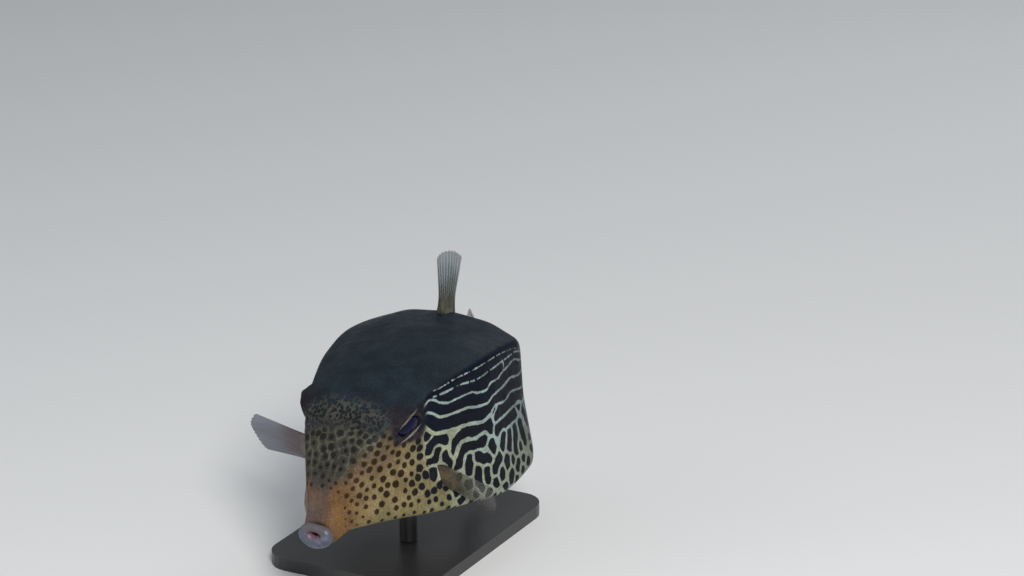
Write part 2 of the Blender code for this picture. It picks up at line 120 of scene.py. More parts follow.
def smooth_through(knots, values, at):
    """Values between knots by a monotone cubic, so that a profile never bulges past its stations."""
    width = np.diff(knots)[:, None]
    slope = np.diff(values, axis=0) / width
    tangent = np.zeros_like(values)
    before, after = slope[:-1], slope[1:]
    with np.errstate(divide="ignore", invalid="ignore"):
        mean = 2 * before * after / (before + after)
    tangent[1:-1] = np.where(before * after > 0, mean, 0.0)
    tangent[0] = slope[0]
    tangent[-1] = slope[-1]
    k = int(np.clip(np.searchsorted(knots, at) - 1, 0, len(knots) - 2))
    h = knots[k + 1] - knots[k]
    u = (at - knots[k]) / h
    rise = (1 + 2 * u) * (1 - u) ** 2 * values[k] + u * u * (3 - 2 * u) * values[k + 1]
    return rise + u * (1 - u) ** 2 * h * tangent[k] + u * u * (u - 1) * h * tangent[k + 1]


def body_outline(t):
    """The cross-section at t as (x, z) points, starting at the middle of the back, left side first."""
    row = Station(t, *smooth_through(BODY[:, 0], BODY[:, 1:], t))
    half = (
        (0.0, row.back_z, BACK_POINTS // 2),
        (row.ridge_w * CORNER_DOME, row.back_z - (row.back_z - row.ridge_z) * CORNER_FALL, BACK_POINTS // 2),
        (row.ridge_w, row.ridge_z, FLANK_POINTS // 2),
        (row.flank_w, (row.ridge_z + row.keel_z) / 2, FLANK_POINTS // 2),
        (row.keel_w, row.keel_z, BELLY_POINTS // 2),
        (row.keel_w * CORNER_DOME, row.belly_z + (row.keel_z - row.belly_z) * CORNER_FALL, BELLY_POINTS // 2),
        (0.0, row.belly_z, 0),
    )
    points = []
    for (x0, z0, count), (x1, z1, _) in zip(half[:-1], half[1:]):
        for k in range(count):
            points.append((x0 + (x1 - x0) * k / count, z0 + (z1 - z0) * k / count))
    points.append(half[-1][:2])
    loop = np.array(points + [(-x, z) for x, z in reversed(points[1:-1])])
    # three running means round the corners; the part left over from a whole number keeps them even
    reach = (row.rounding * FLANK_POINTS / 4 - 0.5) / 2
    whole = int(reach)
    for _ in range(3):
        total = (reach - whole) * (np.roll(loop, whole + 1, axis=0) + np.roll(loop, -whole - 1, axis=0))
        for shift in range(-whole, whole + 1):
            total += np.roll(loop, shift, axis=0)
        loop = total / (2 * reach + 1)
    return loop


def side_x(t, z):
    left = body_outline(t)[: LOOP_POINTS // 2 + 1]
    order = np.argsort(left[:, 1])
    return float(np.interp(z, left[order, 1], left[order, 0]))


def tail_axis(distance):
    """Centre and direction of the tail, which bends gently to the fish's right."""
    steps = 40
    x, t = 0.0, SHELL_END_T + 0.3
    for k in range(steps):
        angle = TAIL_BEND * min(1.0, (k + 0.5) / steps * distance / TAIL_LENGTH)
        x -= math.sin(angle) * distance / steps
        t += math.cos(angle) * distance / steps
    return x, t, TAIL_BEND * min(1.0, distance / TAIL_LENGTH)


# Markings of the flanks as (t, z) paths along the side. The third of the long pale lines comes in two parts
THIRD_LINE_FRONT = (
    (24.2, 23.3), (25.4, 22.1), (27.6, 20.6), (30.4, 20.3), (33.0, 20.2), (36.6, 20.1), (41.2, 19.4),
    (44.2, 20.1))
THIRD_LINE_REAR = (
    (44.2, 20.1), (45.0, 20.9), (46.5, 21.6), (50.5, 21.1), (54.0, 22.1), (58.5, 21.4), (64.0, 20.2))
# each pale line: half its width, the length of its dashes or 0, and its path
PALE_LINES = (
    (0.12, 3.1, (
        (27.0, 30.7), (29.0, 31.0), (33.0, 31.7), (38.0, 32.0), (46.5, 32.5), (55.0, 31.7), (60.0, 30.3),
        (64.0, 28.4))),
    (0.2, 3.9, (
        (26.6, 29.5), (29.5, 29.6), (34.0, 30.0), (39.5, 29.6), (45.0, 30.2), (50.0, 30.4), (57.0, 30.4),
        (61.5, 29.0), (65.5, 27.0))),
    (0.23, 0, (
        (23.6, 27.2), (24.4, 28.4), (25.4, 29.0), (26.6, 28.7), (28.5, 27.6), (31.0, 26.9), (33.5, 27.1),
        (38.0, 27.2), (40.2, 26.4), (43.0, 26.2), (45.0, 27.3), (48.0, 27.2), (50.0, 27.9), (53.5, 28.4),
        (56.0, 28.9), (60.0, 27.6), (63.5, 26.6), (66.5, 25.2), (69.3, 23.2))),
    (0.2, 0, ((50.5, 28.0), (51.2, 29.4), (50.8, 30.6))),
    (0.29, 0, (
        (23.8, 25.4), (24.8, 26.2), (26.0, 25.9), (28.8, 24.2), (31.6, 24.0), (36.0, 24.0), (39.4, 23.4),
        (43.0, 23.1), (45.6, 24.1), (50.0, 24.6), (54.4, 25.4), (57.0, 24.8), (61.0, 24.6), (65.5, 22.6),
        (68.5, 20.9), (71.0, 19.4))),
    (0.44, 0, THIRD_LINE_FRONT),
    (0.27, 0, THIRD_LINE_REAR),
    (0.25, 0, ((44.3, 20.0), (45.3, 17.6), (47.0, 17.6), (50.0, 17.9), (56.0, 18.4), (61.5, 17.6))),
    (0.29, 0, ((31.9, 20.1), (31.7, 18.6), (31.4, 17.2), (31.2, 16.0))),
    (0.42, 0, ((30.9, 19.8), (32.3, 19.2), (34.3, 19.8))),
    (0.27, 0, ((31.8, 13.4), (33.4, 16.1), (36.4, 16.9), (38.6, 16.1), (41.4, 17.0), (43.3, 15.2))),
)
# the dark strokes below the third line, each a path or a single place
DARK_STROKES = (
    ((46.5, 19.3), (50.5, 19.5), (55.0, 20.2), (58.8, 19.8), (63.5, 18.9)),
    ((46.0, 15.8), (49.5, 16.4), (55.0, 16.8)),
    ((32.2, 15.0), (32.8, 17.3), (34.6, 18.5), (38.5, 18.0), (42.0, 18.3), (43.3, 18.9), (43.4, 16.8)),
    ((32.2, 11.8), (34.8, 14.6), (37.8, 14.9), (41.2, 15.3)),
    ((36.0, 12.8), (35.2, 9.8)),
    ((38.2, 12.4), (39.4, 11.3), (41.4, 10.9)),
    ((37.8, 9.2), (37.4, 6.8), (37.8, 5.2)),
    ((40.2, 8.4), (39.8, 6.4)),
    ((43.0, 14.0), (43.4, 12.2)),
    ((45.1, 10.6), (42.4, 7.9)),
    ((48.2, 14.0), (46.6, 11.6)),
    ((51.0, 13.4), (49.6, 10.6)),
    ((53.6, 13.6), (52.2, 8.8)),
    ((56.4, 14.0), (56.9, 9.6)),
    ((48.0, 8.9), (47.4, 7.4)),
    ((44.9, 6.8), (44.5, 5.8)),
    ((52.2, 6.4), (51.6, 5.4)),
    ((48.5, 5.2), (48.0, 3.8)),
    ((42.1, 5.3),),
    ((45.0, 3.2),),
    ((55.0, 6.4),),
    ((39.6, 3.6),),
    ((34.4, 7.1),),
    ((32.2, 9.4),),
    ((36.0, 4.2),),
    ((25.2, 20.6),),
    ((25.6, 16.9), (26.5, 18.6), (28.2, 19.0), (30.0, 18.4)),
    ((25.2, 14.4), (27.0, 14.9), (28.2, 16.4)),
    ((29.4, 15.2), (30.5, 12.8)),
    ((26.0, 12.6), (25.8, 10.8)),
    ((59.4, 16.2), (60.6, 12.8)),
    ((63.2, 15.6), (63.6, 11.8)),
    ((66.2, 18.2), (68.6, 19.4)),
    ((60.2, 9.4),),
)
# how far the right side's markings may stray from the left side's
WANDER = 0.9
# the stripes lie between these two, and above the keel
STRIPES_START_T = 22.2
STRIPES_END_T = 66.0
KEEL_BAND = 1.93
# no round spot lies nearer to a dark stroke than this
STROKE_ROOM = 2.1
# round spots that may lie too near to each other are looked for in cells of this size
CELL_SIZE = 3
CELL_STEPS = tuple(product((-1, 0, 1), repeat=3))


def along(path, spacing):
    """Places every spacing along a path of (t, z) places, with how far along each lies."""
    path = np.array(path, float)
    if len(path) == 1:
        return path, np.zeros(1)
    length = np.concatenate([[0.0], np.cumsum(np.linalg.norm(np.diff(path, axis=0), axis=1))])
    reached = np.linspace(0, length[-1], max(3, int(length[-1] / spacing) + 1))
    if len(path) > 2:
        return np.array([smooth_through(length, path, at) for at in reached]), reached
    return np.stack([np.interp(reached, length, path[:, k]) for k in (0, 1)], axis=1), reached


def on_side(places, side):
    """(t, z) places as body places on one side; the right side's are shifted a little, so it differs."""
    found = []
    for t, z in places:
        if side < 0:
            shift = WANDER * np.array((math.sin(z * 0.45 + t * 0.21), math.sin(t * 0.33 + 1.2)))
            t, z = t + shift[0], z + shift[1] * 0.6
        found.append((side_x(min(t, SHELL_END_T - 0.5), z) * side, t, z))
    return found


class Surface:
    """The grid of the fish's skin from the mouth to the root of the tail fin, in body millimetres."""

    def __init__(self):
        half = list(range(0, BACK_POINTS, 2)) + list(range(BACK_POINTS, KEEL_POINT))
        half += list(range(KEEL_POINT, LOOP_POINTS // 2, 2)) + [LOOP_POINTS // 2]
        self.columns = np.array(half + [LOOP_POINTS - k for k in reversed(half[1:-1])])
        # 0 at the middle of the back, 1 at the ridge, 2 at the keel, 3 at the middle of the belly
        folded = np.minimum(self.columns, LOOP_POINTS - self.columns)
        knots = (0, BACK_POINTS, KEEL_POINT, LOOP_POINTS // 2)
        self.band = np.interp(folded, knots, (0, 1, 2, 3))
        rings = []
        mouth = self.ring(SNOUT_T)
        centre = np.array((0.0, 0.0, MOUTH_Z))
        for share, t in ((0.16, 3.6), (0.34, 3.1), (0.5, 2.5), (0.68, 2.15), (0.86, 2.0)):
            ring = centre + (mouth - centre) * share
            ring[:, 1] = t
            rings.append(ring)
        self.first_body_row = len(rings)
        face = np.arange(SNOUT_T, 24.0, 0.27)
        flank = np.arange(24.0, 60.0, 0.33)
        rear = np.linspace(60.0, SHELL_END_T, 42)
        rings += [self.ring(t) for t in np.concatenate([face, flank, rear])]
        last = rings[-1]
        around = np.arctan2(last[:, 0], last[:, 2] - (last[:, 2].max() + last[:, 2].min()) / 2)
        root = self.tail_ring(0.0, around)
        for share in (0.2, 0.42, 0.64, 0.84, 1.0):
            ring = last + (root - last) * ease(0, 1, share)
            ring[:, 1] = SHELL_END_T + 0.3 * share ** 2
            rings.append(ring)
        rings += [self.tail_ring(distance, around) for distance in np.linspace(0.3, TAIL_LENGTH, 32)]
        for distance, share in ((TAIL_LENGTH + 0.4, 0.8), (TAIL_LENGTH + 0.7, 0.45)):
            rings.append(self.tail_ring(distance, around, share))
        self.body = np.array(rings)

    def ring(self, t):
        loop = body_outline(t)[self.columns]
        return np.stack([loop[:, 0], np.full(len(loop), t), loop[:, 1]], axis=1)

    def tail_ring(self, distance, around, share=1.0):
        held = min(distance, TAIL_LENGTH)
        half_width, half_height = smooth_through(TAIL_SECTIONS[:, 0], TAIL_SECTIONS[:, 1:], held)
        x, t, angle = tail_axis(distance)
        across = half_width * share * np.sin(around)
        up = TAIL_ROOT_Z + half_height * (0.6 + 0.4 * share) * np.cos(around)
        return np.stack([x + across * math.cos(angle), t + across * math.sin(angle), up], axis=1)

    def normals(self):
        """Outward directions of all grid points."""
        down = np.gradient(self.body, axis=0)
        round_ = np.roll(self.body, -1, axis=1) - np.roll(self.body, 1, axis=1)
        normal = np.cross(round_, down)
        return normal / np.maximum(np.linalg.norm(normal, axis=2, keepdims=True), 1e-9)


def eye_seat(side):
    """Where an eye looks out of the skin, and its axis."""
    return np.array((side_x(EYE_T, EYE_Z) * side, EYE_T, EYE_Z)), EYE_AXIS * (side, 1, 1)


def soft_max(first, second, softness):
    share = np.clip(0.5 + (first - second) / (2 * softness), 0, 1)
    return second + (first - second) * share + softness * share * (1 - share)


def carve(surface):
    """Raises the lids and brows, and sinks sockets, nostrils and gill slits.

    Returns how far each point belongs to a brow, and how far it lies beside an eye.
    """
    body = surface.body
    normal = surface.normals()
    push = np.zeros_like(body)
    brow = np.zeros(body.shape[:2])
    beside = np.zeros(body.shape[:2])
    for side in (1, -1):
        seat, axis = eye_seat(side)
        offset = body - seat
        depth = (offset * axis).sum(axis=2)
        flat = offset - depth[..., None] * axis
        away = np.linalg.norm(flat, axis=2)
        near = (away < 8) & (np.abs(depth) < 5)
        top = np.minimum(away, BROW_RADIUS - 0.5)
        swell = BROW_DEPTH * np.sqrt(1 - (top / BROW_RADIUS) ** 2) - BROW_SUNK
        swell = swell - 0.9 * (away - top) - 1.1 * (away - top) ** 2
        lid = np.sqrt(np.clip(LID_THICKNESS ** 2 - (away - LID_RING_RADIUS) ** 2, 0, None))
        lid = np.where(np.abs(away - LID_RING_RADIUS) < LID_THICKNESS, lid, -20.0)
        raised = soft_max(depth, swell, 0.8)
        raised = soft_max(raised, lid, 0.18)
        ball_top = EYE_PROUD - EYE_DEPTH + EYE_DEPTH * np.sqrt(np.clip(1 - (away / EYE_RADIUS) ** 2, 0, 1))
        under = ball_top - np.clip(0.9 * (2.86 - away), 0, 0.6)
        inside = ease(3.0, 2.8, away)
        facing = ease(-0.05, 0.4, (normal * axis).sum(axis=2))
        height = (1 - inside) * (raised - depth) * facing + inside * (under - depth)
        push += np.where(near[..., None], height[..., None] * axis, 0.0)
        patch = ease(5.3, 4.0, away - 0.5 * np.clip(flat[..., 1], 0, 2.0)) * ease(-4.3, -3.3, flat[..., 2])
        patch = patch * ease(4.2, 2.6, flat[..., 2])
        brow = np.maximum(brow, np.where(near, patch, 0))
        beside = np.maximum(beside, np.where(near, ease(7.2, 5.0, away), 0))
        for t, z in NOSTRILS:
            away = np.linalg.norm(body - (side_x(t, z) * side, t, z), axis=2)
            pit = -0.42 * np.exp(-(away / 0.34) ** 2) + 0.16 * np.exp(-((away - 0.75) / 0.28) ** 2)
            push += normal * pit[..., None]
        offset = body - (side_x(GILL_T, GILL_Z) * side, GILL_T, GILL_Z)
        rise = np.abs(offset[..., 2])
        bow = offset[..., 1] + 0.35 * (rise / GILL_HALF_HEIGHT) ** 2
        slit = np.exp(-(bow / 0.32) ** 2) * ease(GILL_HALF_HEIGHT + 0.4, GILL_HALF_HEIGHT - 1, rise)
        lip = np.exp(-((bow + 0.8) / 0.5) ** 2) * ease(GILL_HALF_HEIGHT + 1, 1.5, rise)
        own = np.abs(offset[..., 0]) < 4
        push += normal * np.where(own, -0.75 * slit + 0.22 * lip, 0.0)[..., None]
    surface.body = body + push
    return brow, beside


def third_line_z(t):
    """Height of the third pale line: strokes and net below it, bands above."""
    path = np.array(THIRD_LINE_FRONT + THIRD_LINE_REAR[1:])
    return np.interp(t, path[:, 0], path[:, 1])


def scatter_dots(surface, taken, rng):
    """Places for the round spots: as close as the region wants them, and none on a dark stroke."""
    band = surface.band
    _, t, z = surface.body.transpose(2, 0, 1)
    top = ease(1.0, 0.8, band) * ease(20.0, 12.0, t)
    spacing = 1.83 - 0.25 * ease(10.0, 5.5, t) - 0.7 * top * ease(9.0, 13.0, t)
    spacing = spacing + 0.35 * ease(22.0, 26.0, t) * ease(9.0, 12.0, z)
    spacing = spacing + 0.9 * ease(26.0, 34.0, t) * ease(2.05, 1.95, band) + 0.5 * ease(2.0, 2.15, band)
    spacing = spacing * (1 - 0.3 * ease(SHELL_END_T - 1, SHELL_END_T + 1, t))
    plain = (band < 0.93) & (t > 16.5)
    striped = (t > STRIPES_START_T + 0.3) & (t < STRIPES_END_T) & (band < KEEL_BAND) & (z > third_line_z(t))
    spots = np.argwhere(~plain & ~striped & (t > 5.2))
    rng.shuffle(spots)
    cells = {}
    chosen = []
    for row, column in spots:
        point = surface.body[row, column]
        if taken.find(point)[2] < STROKE_ROOM:
            continue
        reach = spacing[row, column]
        a, b, c = (int(v // CELL_SIZE) for v in point)
        others = [other for i, j, k in CELL_STEPS for other in cells.get((a + i, b + j, c + k), ())]
        if all(((other - point) ** 2).sum() >= reach * reach for other in others):
            cells.setdefault((a, b, c), []).append(point)
            chosen.append(tuple(point))
    return chosen


def tree_of(places):
    """A search tree that numbers the places in their order."""
    tree = kdtree.KDTree(len(places))
    for number, place in enumerate(places):
        tree.insert(place, number)
    tree.balance()
    return tree


def spot_distances(surface):
    """Millimetres to the nearest spot or stroke, in sizes of its own, and to the border with the next."""
    elements = [on_side(along(path, 0.5)[0], side) for path in DARK_STROKES for side in (1, -1)]
    taken = tree_of([place for element in elements for place in element])
    rng = np.random.default_rng(7)
    elements += [[place] for place in scatter_dots(surface, taken, rng)]
    tree = tree_of([place for element in elements for place in element])
    owner = [number for number, element in enumerate(elements) for _ in element]
    own_size = rng.uniform(0.78, 1.2, len(elements))
    neighbours = 12
    shape = surface.body.shape[:2]
    nearest, second, size = np.zeros((3, shape[0] * shape[1]))
    for k, point in enumerate(surface.body.reshape(-1, 3)):
        found = [(owner[index], distance) for _, index, distance in tree.find_n(point, neighbours)]
        own, nearest[k] = found[0]
        size[k] = own_size[own]
        others = [distance for number, distance in found if number != own]
        second[k] = others[0] if others else found[-1][1] + 1.0
    nearest = nearest / size
    border = (second - nearest * size) / 2
    return nearest.reshape(shape), border.reshape(shape)


def line_distances(surface):
    """Millimetres to the edge of the nearest pale line, less than 0 inside it."""
    far = 9.0
    margin = 3
    flat = surface.body.reshape(-1, 3)
    line_edge = np.full(len(flat), far)
    for half_width, dash, path in PALE_LINES:
        for side in (1, -1):
            places, distance = along(path, 0.25)
            if dash:
                beat = distance * 2 * math.pi / dash
                gap = np.sin(beat + 1.6 * np.sin(distance * 0.53) + side) + 0.5 * np.sin(2.3 * beat + 1)
                places = places[gap > -0.75]
            points = on_side(places, side)
            tree = tree_of(points)
            inside = (flat > np.min(points, axis=0) - margin) & (flat < np.max(points, axis=0) + margin)
            for k in np.nonzero(np.all(inside, axis=1))[0]:
                line_edge[k] = min(line_edge[k], tree.find(flat[k])[2] - half_width)
    return line_edge.reshape(surface.body.shape[:2])


def colour(*rgb):
    return np.array(rgb, float)


SLATE = colour(0.0118, 0.0185, 0.0255)
SLATE_REAR = colour(0.0075, 0.0125, 0.0235)
NAVY = colour(0.002, 0.0036, 0.0105)
NAVY_LOW = colour(0.0065, 0.0075, 0.012)
BROWN = colour(0.021, 0.0125, 0.0055)
GOLD = colour(0.172, 0.128, 0.06)
RUSSET = colour(0.11, 0.059, 0.034)
ORANGE = colour(0.135, 0.073, 0.0295)
PAINTED_SHADE_VIOLET = colour(0.088, 0.067, 0.067)
OLIVE = colour(0.034, 0.031, 0.0255)
YELLOW = colour(0.148, 0.129, 0.06)
CREAM = colour(0.238, 0.256, 0.182)
MINT = colour(0.235, 0.3, 0.287)
BROW = colour(0.023, 0.0185, 0.0245)
BROW_REAR = colour(0.009, 0.0105, 0.018)
STREAK = colour(0.0175, 0.0185, 0.0185)
STREAK_DARK = colour(0.0092, 0.0104, 0.0115)
TAIL = colour(0.11, 0.1, 0.06)
TAIL_DARK = colour(0.009, 0.011, 0.016)
THROAT = colour(0.13, 0.045, 0.05)
LID_TAN = colour(0.12, 0.104, 0.078)
LID_PALE = colour(0.15, 0.14, 0.12)
LID_SHADE = colour(0.003, 0.0035, 0.015)


def layered(base, *layers):
    """The base colour with each (colour, share) laid over it in turn."""
    for tint, share in layers:
        base = base + (tint - base) * share[..., None]
    return base


Regions = namedtuple("Regions", "tail face belly plain olive russet bare drawn")


def regions(surface):
    """How far each point of the skin belongs to each region, from 0 to 1."""
    band = surface.band
    x, t, z = surface.body.transpose(2, 0, 1)
    tail = ease(SHELL_END_T, SHELL_END_T + 1.5, t)
    low = ease(13.0, 7.0, z)
    past_ridge = 0.05 * ease(17.5, 20.0, t) * ease(25.5, 24.0, t)
    # the olive forehead comes down to the ridge beside the eye and leaves the front of the snout orange
    border = np.interp(t, (3.9, 5.2, 6.8, 11.2, 14.0), (-0.4, 0.15, 0.75, 1.06, 1.12))
    # painted shade: on the fish's right side the olive, and the russet band and streaks that follow its
    # border, reach further down the face
    border = border + 0.35 * ease(0.0, -2.5, x)
    depth = border - band - 0.1 * ease(12.0, 15.0, t)
    start = 10.9 + 2.4 * ease(1.05, 0.35, depth) * ease(-4.0, 1.0, x)
    return Regions(
        tail=tail,
        face=ease(25.2 + 5.0 * low, 23.6 + 4.0 * low, t),
        belly=ease(1.97, 2.15, band) * (1 - tail),
        plain=ease(1.0, 0.93, band - past_ridge) * ease(11.0, 15.2, t) * (1 - tail),
        olive=ease(0.34, -0.3, band - border) * ease(30.0, 26.0, t),
        russet=np.exp(-((band - border - 0.12) / 0.22) ** 2) * ease(20.0, 14.0, t),
        # behind the eye the face ends in plain navy before the stripes begin
        bare=ease(20.4, STRIPES_START_T, t) * ease(-1.2, -0.4, z - third_line_z(t)) * (band < 2),
        # the marks of the forehead are drawn out into streaks
        drawn=ease(0.0, 0.26, depth) * ease(0.0, 1.2, t - start) * ease(20.5, 18.5, t),
    )


def tints(surface, region, brow):
    """Colours of the ground and of the dark marks at each grid point."""
    x, t, z = surface.body.transpose(2, 0, 1)
    slate = layered(SLATE, (SLATE_REAR, ease(44.0, 64.0, t)))
    dusk = layered(BROW, (BROW_REAR, ease(20.8, 23.0, t) * ease(21.5, 24.0, z)))
    pale = layered(
        MINT,
        (CREAM, ease(46.0, 30.0, t) * ease(27.0, 21.0, z)),
        (CREAM, 0.7 * ease(14.0, 9.0, z)),
    )
    cheek = layered(
        GOLD,
        (ORANGE, ease(12.0, 5.0, t)),
        (YELLOW, 0.85 * ease(9.5, 4.0, z) * ease(6.0, 15.0, t)),
        (YELLOW, 0.5 * ease(16.0, 23.0, t)),
        (RUSSET, region.russet * 0.8),
        (OLIVE, region.olive),
        # painted shade: the front of the snout turns grey-violet towards the fish's right side
        (PAINTED_SHADE_VIOLET, ease(7.2, 2.6, t) * ease(4.2, -1.6, x) * ease(2.0, 1.5, surface.band) * 0.85),
    )
    ground = layered(
        pale * (1 - 0.45 * ease(45.0, 60.0, t))[..., None],
        (cheek, region.face),
        (YELLOW * 1.3, region.belly),
        (TAIL, region.tail),
        (slate, region.plain),
        (STREAK, 0.85 * region.drawn * (1 - region.plain)),
        (dusk, brow),
    )
    dark = layered(
        NAVY,
        (NAVY_LOW, ease(24.0, 14.0, z)),
        (BROWN, region.face * ease(24.5, 18.0, t) * (1 - region.bare)),
        (RUSSET * 0.28, region.face * ease(14.0, 8.0, t)),
        (OLIVE * 0.36, region.olive * region.face),
        (BROWN * 2.2, region.belly),
        (TAIL_DARK, region.tail),
        (slate, region.plain),
        (STREAK_DARK, region.drawn * ease(16.5, 14.0, t)),
        (dusk * 0.6, brow),
    )
    return ground, dark


def mark_edges(surface, region, nearest, border, line_edge):
    """Millimetres from each point to the edge of the dark marks, more than 0 inside them."""
    band = surface.band
    _, t, z = surface.body.transpose(2, 0, 1)
    third_z = third_line_z(t)
    radius = 0.74 - 0.22 * ease(9.5, 5.0, z) * (1 - region.tail) - 0.22 * ease(12.0, 6.0, t)
    radius = radius + 0.2 * ease(20.0, 25.0, t) - 0.06 * region.olive * ease(9.0, 13.0, t)
    striped = (t > STRIPES_START_T) & (z > third_z - 0.4) & (band < 2)
    dots = np.where(striped, np.minimum(1.0, line_edge), radius - nearest)
    # low on the flank the cells are rounder and the lines between them wider
    low_cells = ease(21.0, 16.0, z)
    net = border - 0.22 - 0.11 * low_cells
    net = np.minimum(net, (1.32 - nearest) * 0.8 + 1.2 * (1 - low_cells))
    upper = (t > STRIPES_START_T) & (t < STRIPES_END_T) & (band < KEEL_BAND) & (z > third_z)
    upper = upper | ((band < 1.0) & (t > 20.0))
    lines = np.minimum(np.where(upper, 3.0, net), line_edge)
    spotty = np.maximum(np.maximum(region.face, region.belly), region.tail)
    edge = lines + (dots - lines) * spotty - 1.5 * ease(5.6, 4.2, t)
    return np.where(region.plain > 0.5, 1.0, edge) - 0.7 * region.drawn * (1 - region.plain)


def fine_marks(surface, region, brow, beside):
    """How strongly the pale net between the spots of the face shows, and the streaks of the forehead."""
    t = surface.body[..., 1]
    net = 0.6 * ease(17.0, 24.0, t) * (1 - region.olive) + 0.62 + 0.08 * region.olive
    net = np.clip(net, 0, 1) * region.face * (1 - region.drawn) * ease(5.0, 8.0, t) * (1 - brow)
    net = net * (1 - region.plain) * (1 - region.belly) * (1 - 0.8 * beside) * (1 - region.bare)
    return net, region.drawn * ease(18.5, 15.5, t) * (1 - brow)


def smooth_mesh(name, places, faces):
    """A smooth mesh of faces between body places."""
    mesh = bpy.data.meshes.new(name)
    mesh.from_pydata([tuple(p) for p in to_model(np.reshape(places, (-1, 3)))], [], faces)
    mesh.shade_smooth()
    return mesh


def ring_faces(rows, columns, closed):
    """Faces between the rings of a grid, and from its last ring to its first where it is closed."""
    faces = []
    for r in range(rows if closed else rows - 1):
        here, there = r * columns, (r + 1) % rows * columns
        for c in range(columns):
            beside = (c + 1) % columns
            faces.append((here + c, there + c, there + beside, here + beside))
    return faces


def tube_mesh(name, grid):
    """A tube through a grid of rings, closed by a fan at each end."""
    rows, columns = grid.shape[:2]
    places = list(grid.reshape(-1, 3))
    faces = ring_faces(rows, columns, False)
    for row, flip in ((0, False), (rows - 1, True)):
        middle = len(places)
        places.append(grid[row].mean(axis=0))
        for c in range(columns):
            a = row * columns + c
            b = row * columns + (c + 1) % columns
            faces.append((a, middle, b) if flip else (b, middle, a))
    return smooth_mesh(name, places, faces)


def add_object(name, data):
    made = bpy.data.objects.new(name, data)
    bpy.context.scene.collection.objects.link(made)
    return made


def new_piece(name, mesh):
    """An object of the mesh, all its faces turned outward."""
    work = bmesh.new()
    work.from_mesh(mesh)
    bmesh.ops.recalc_face_normals(work, faces=work.faces)
    work.to_mesh(mesh)
    work.free()
    return add_object(name, mesh)


def for_vertices(mesh, values, width):
    """Values for every vertex; the middles of the fans at a tube's ends repeat the last one."""
    flat = np.asarray(values, np.float32).reshape(-1, width)
    return np.concatenate([flat, np.repeat(flat[-1:], len(mesh.vertices) - len(flat), axis=0)])


def add_numbers(mesh, **fields):
    for name, values in fields.items():
        layer = mesh.attributes.new(name, "FLOAT", "POINT")
        layer.data.foreach_set("value", for_vertices(mesh, values, 1).reshape(-1))


def add_colours(mesh, **fields):
    for name, values in fields.items():
        layer = mesh.attributes.new(name, "FLOAT_COLOR", "POINT")
        flat = for_vertices(mesh, values, 3)
        full = np.concatenate([flat, np.ones((len(flat), 1), np.float32)], axis=1)
        layer.data.foreach_set("color", full.reshape(-1))


class Finish:
    """A material and short ways to add nodes to it."""

    def __init__(self, name, **inputs):
        self.material = bpy.data.materials.new(name)
        self.material.use_nodes = True
        self.tree = self.material.node_tree
        self.shader = self.tree.nodes["Principled BSDF"]
        self.use(**inputs)

    def feed(self, made, **inputs):
        """Sets or links inputs: by name with _ for a space, or by number as i0, i1 and so on."""
        for key, value in inputs.items():
            socket = made.inputs[int(key[1:]) if key[1:].isdigit() else key.replace("_", " ")]
            if isinstance(value, bpy.types.NodeSocket):
                self.tree.links.new(value, socket)
            else:
                socket.default_value = value

    def use(self, **inputs):
        self.feed(self.shader, **inputs)
        return self.material

    def node(self, kind, output, settings=None, **inputs):
        """One output of a new shader node of this kind."""
        made = self.tree.nodes.new("ShaderNode" + kind)
        for key, value in (settings or {}).items():
            setattr(made, key, value)
        self.feed(made, **inputs)
        return made.outputs[output]

    def place(self):
        return self.node("TexCoord", "Object")

    def number(self, name):
        return self.node("Attribute", "Fac", {"attribute_name": name})

    def tint(self, name):
        return self.node("Attribute", "Color", {"attribute_name": name})

    def noise(self, scale, detail=2.0):
        return self.node("TexNoise", "Fac", Vector=self.place(), Scale=scale, Detail=detail)

    def waver(self, scale, detail, amount):
        """Noise as an offset to both sides of 0."""
        return self.times(self.minus(self.noise(scale, detail), 0.5), amount)

    def cells(self, scale, vector=None):
        return self.node("TexVoronoi", "Distance", Vector=vector or self.place(), Scale=scale)

    def ramp(self, value, low, high, to_low=0.0, to_high=1.0):
        return self.node("MapRange", "Result", {"interpolation_type": "SMOOTHSTEP"}, Value=value,
                         From_Min=low, From_Max=high, To_Min=to_low, To_Max=to_high)

    def calculate(self, operation, first, second=0.0):
        return self.node("Math", "Value", {"operation": operation}, i0=first, i1=second)

    def plus(self, first, second):
        return self.calculate("ADD", first, second)

    def minus(self, first, second):
        return self.calculate("SUBTRACT", first, second)

    def times(self, first, second):
        return self.calculate("MULTIPLY", first, second)

    def size_of(self, value):
        return self.calculate("ABSOLUTE", value)

    def squared(self, value, middle, factor):
        off = self.minus(value, middle)
        return self.times(self.times(off, off), factor)

    def tapered(self, value, middle, half, along, along_middle, reach):
        """A stroke where value is within half of its middle, thinning out to nothing at its two ends."""
        off = self.size_of(self.minus(value, middle))
        off = self.plus(off, self.squared(along, along_middle, 1.5 * half / reach ** 2))
        return self.ramp(off, 1.7 * half, 0.8 * half)

    def mix(self, share, *two):
        first, second = [(*map(float, c), 1.0) if isinstance(c, (tuple, np.ndarray)) else c for c in two]
        return self.node("Mix", 2, {"data_type": "RGBA"}, i0=share, i6=first, i7=second)

    def vector(self, operation, output="Vector", **inputs):
        return self.node("VectorMath", output, {"operation": operation}, **inputs)

    def bump(self, height, distance, strength):
        return self.node("Bump", "Normal", Height=height, Distance=distance, Strength=strength)


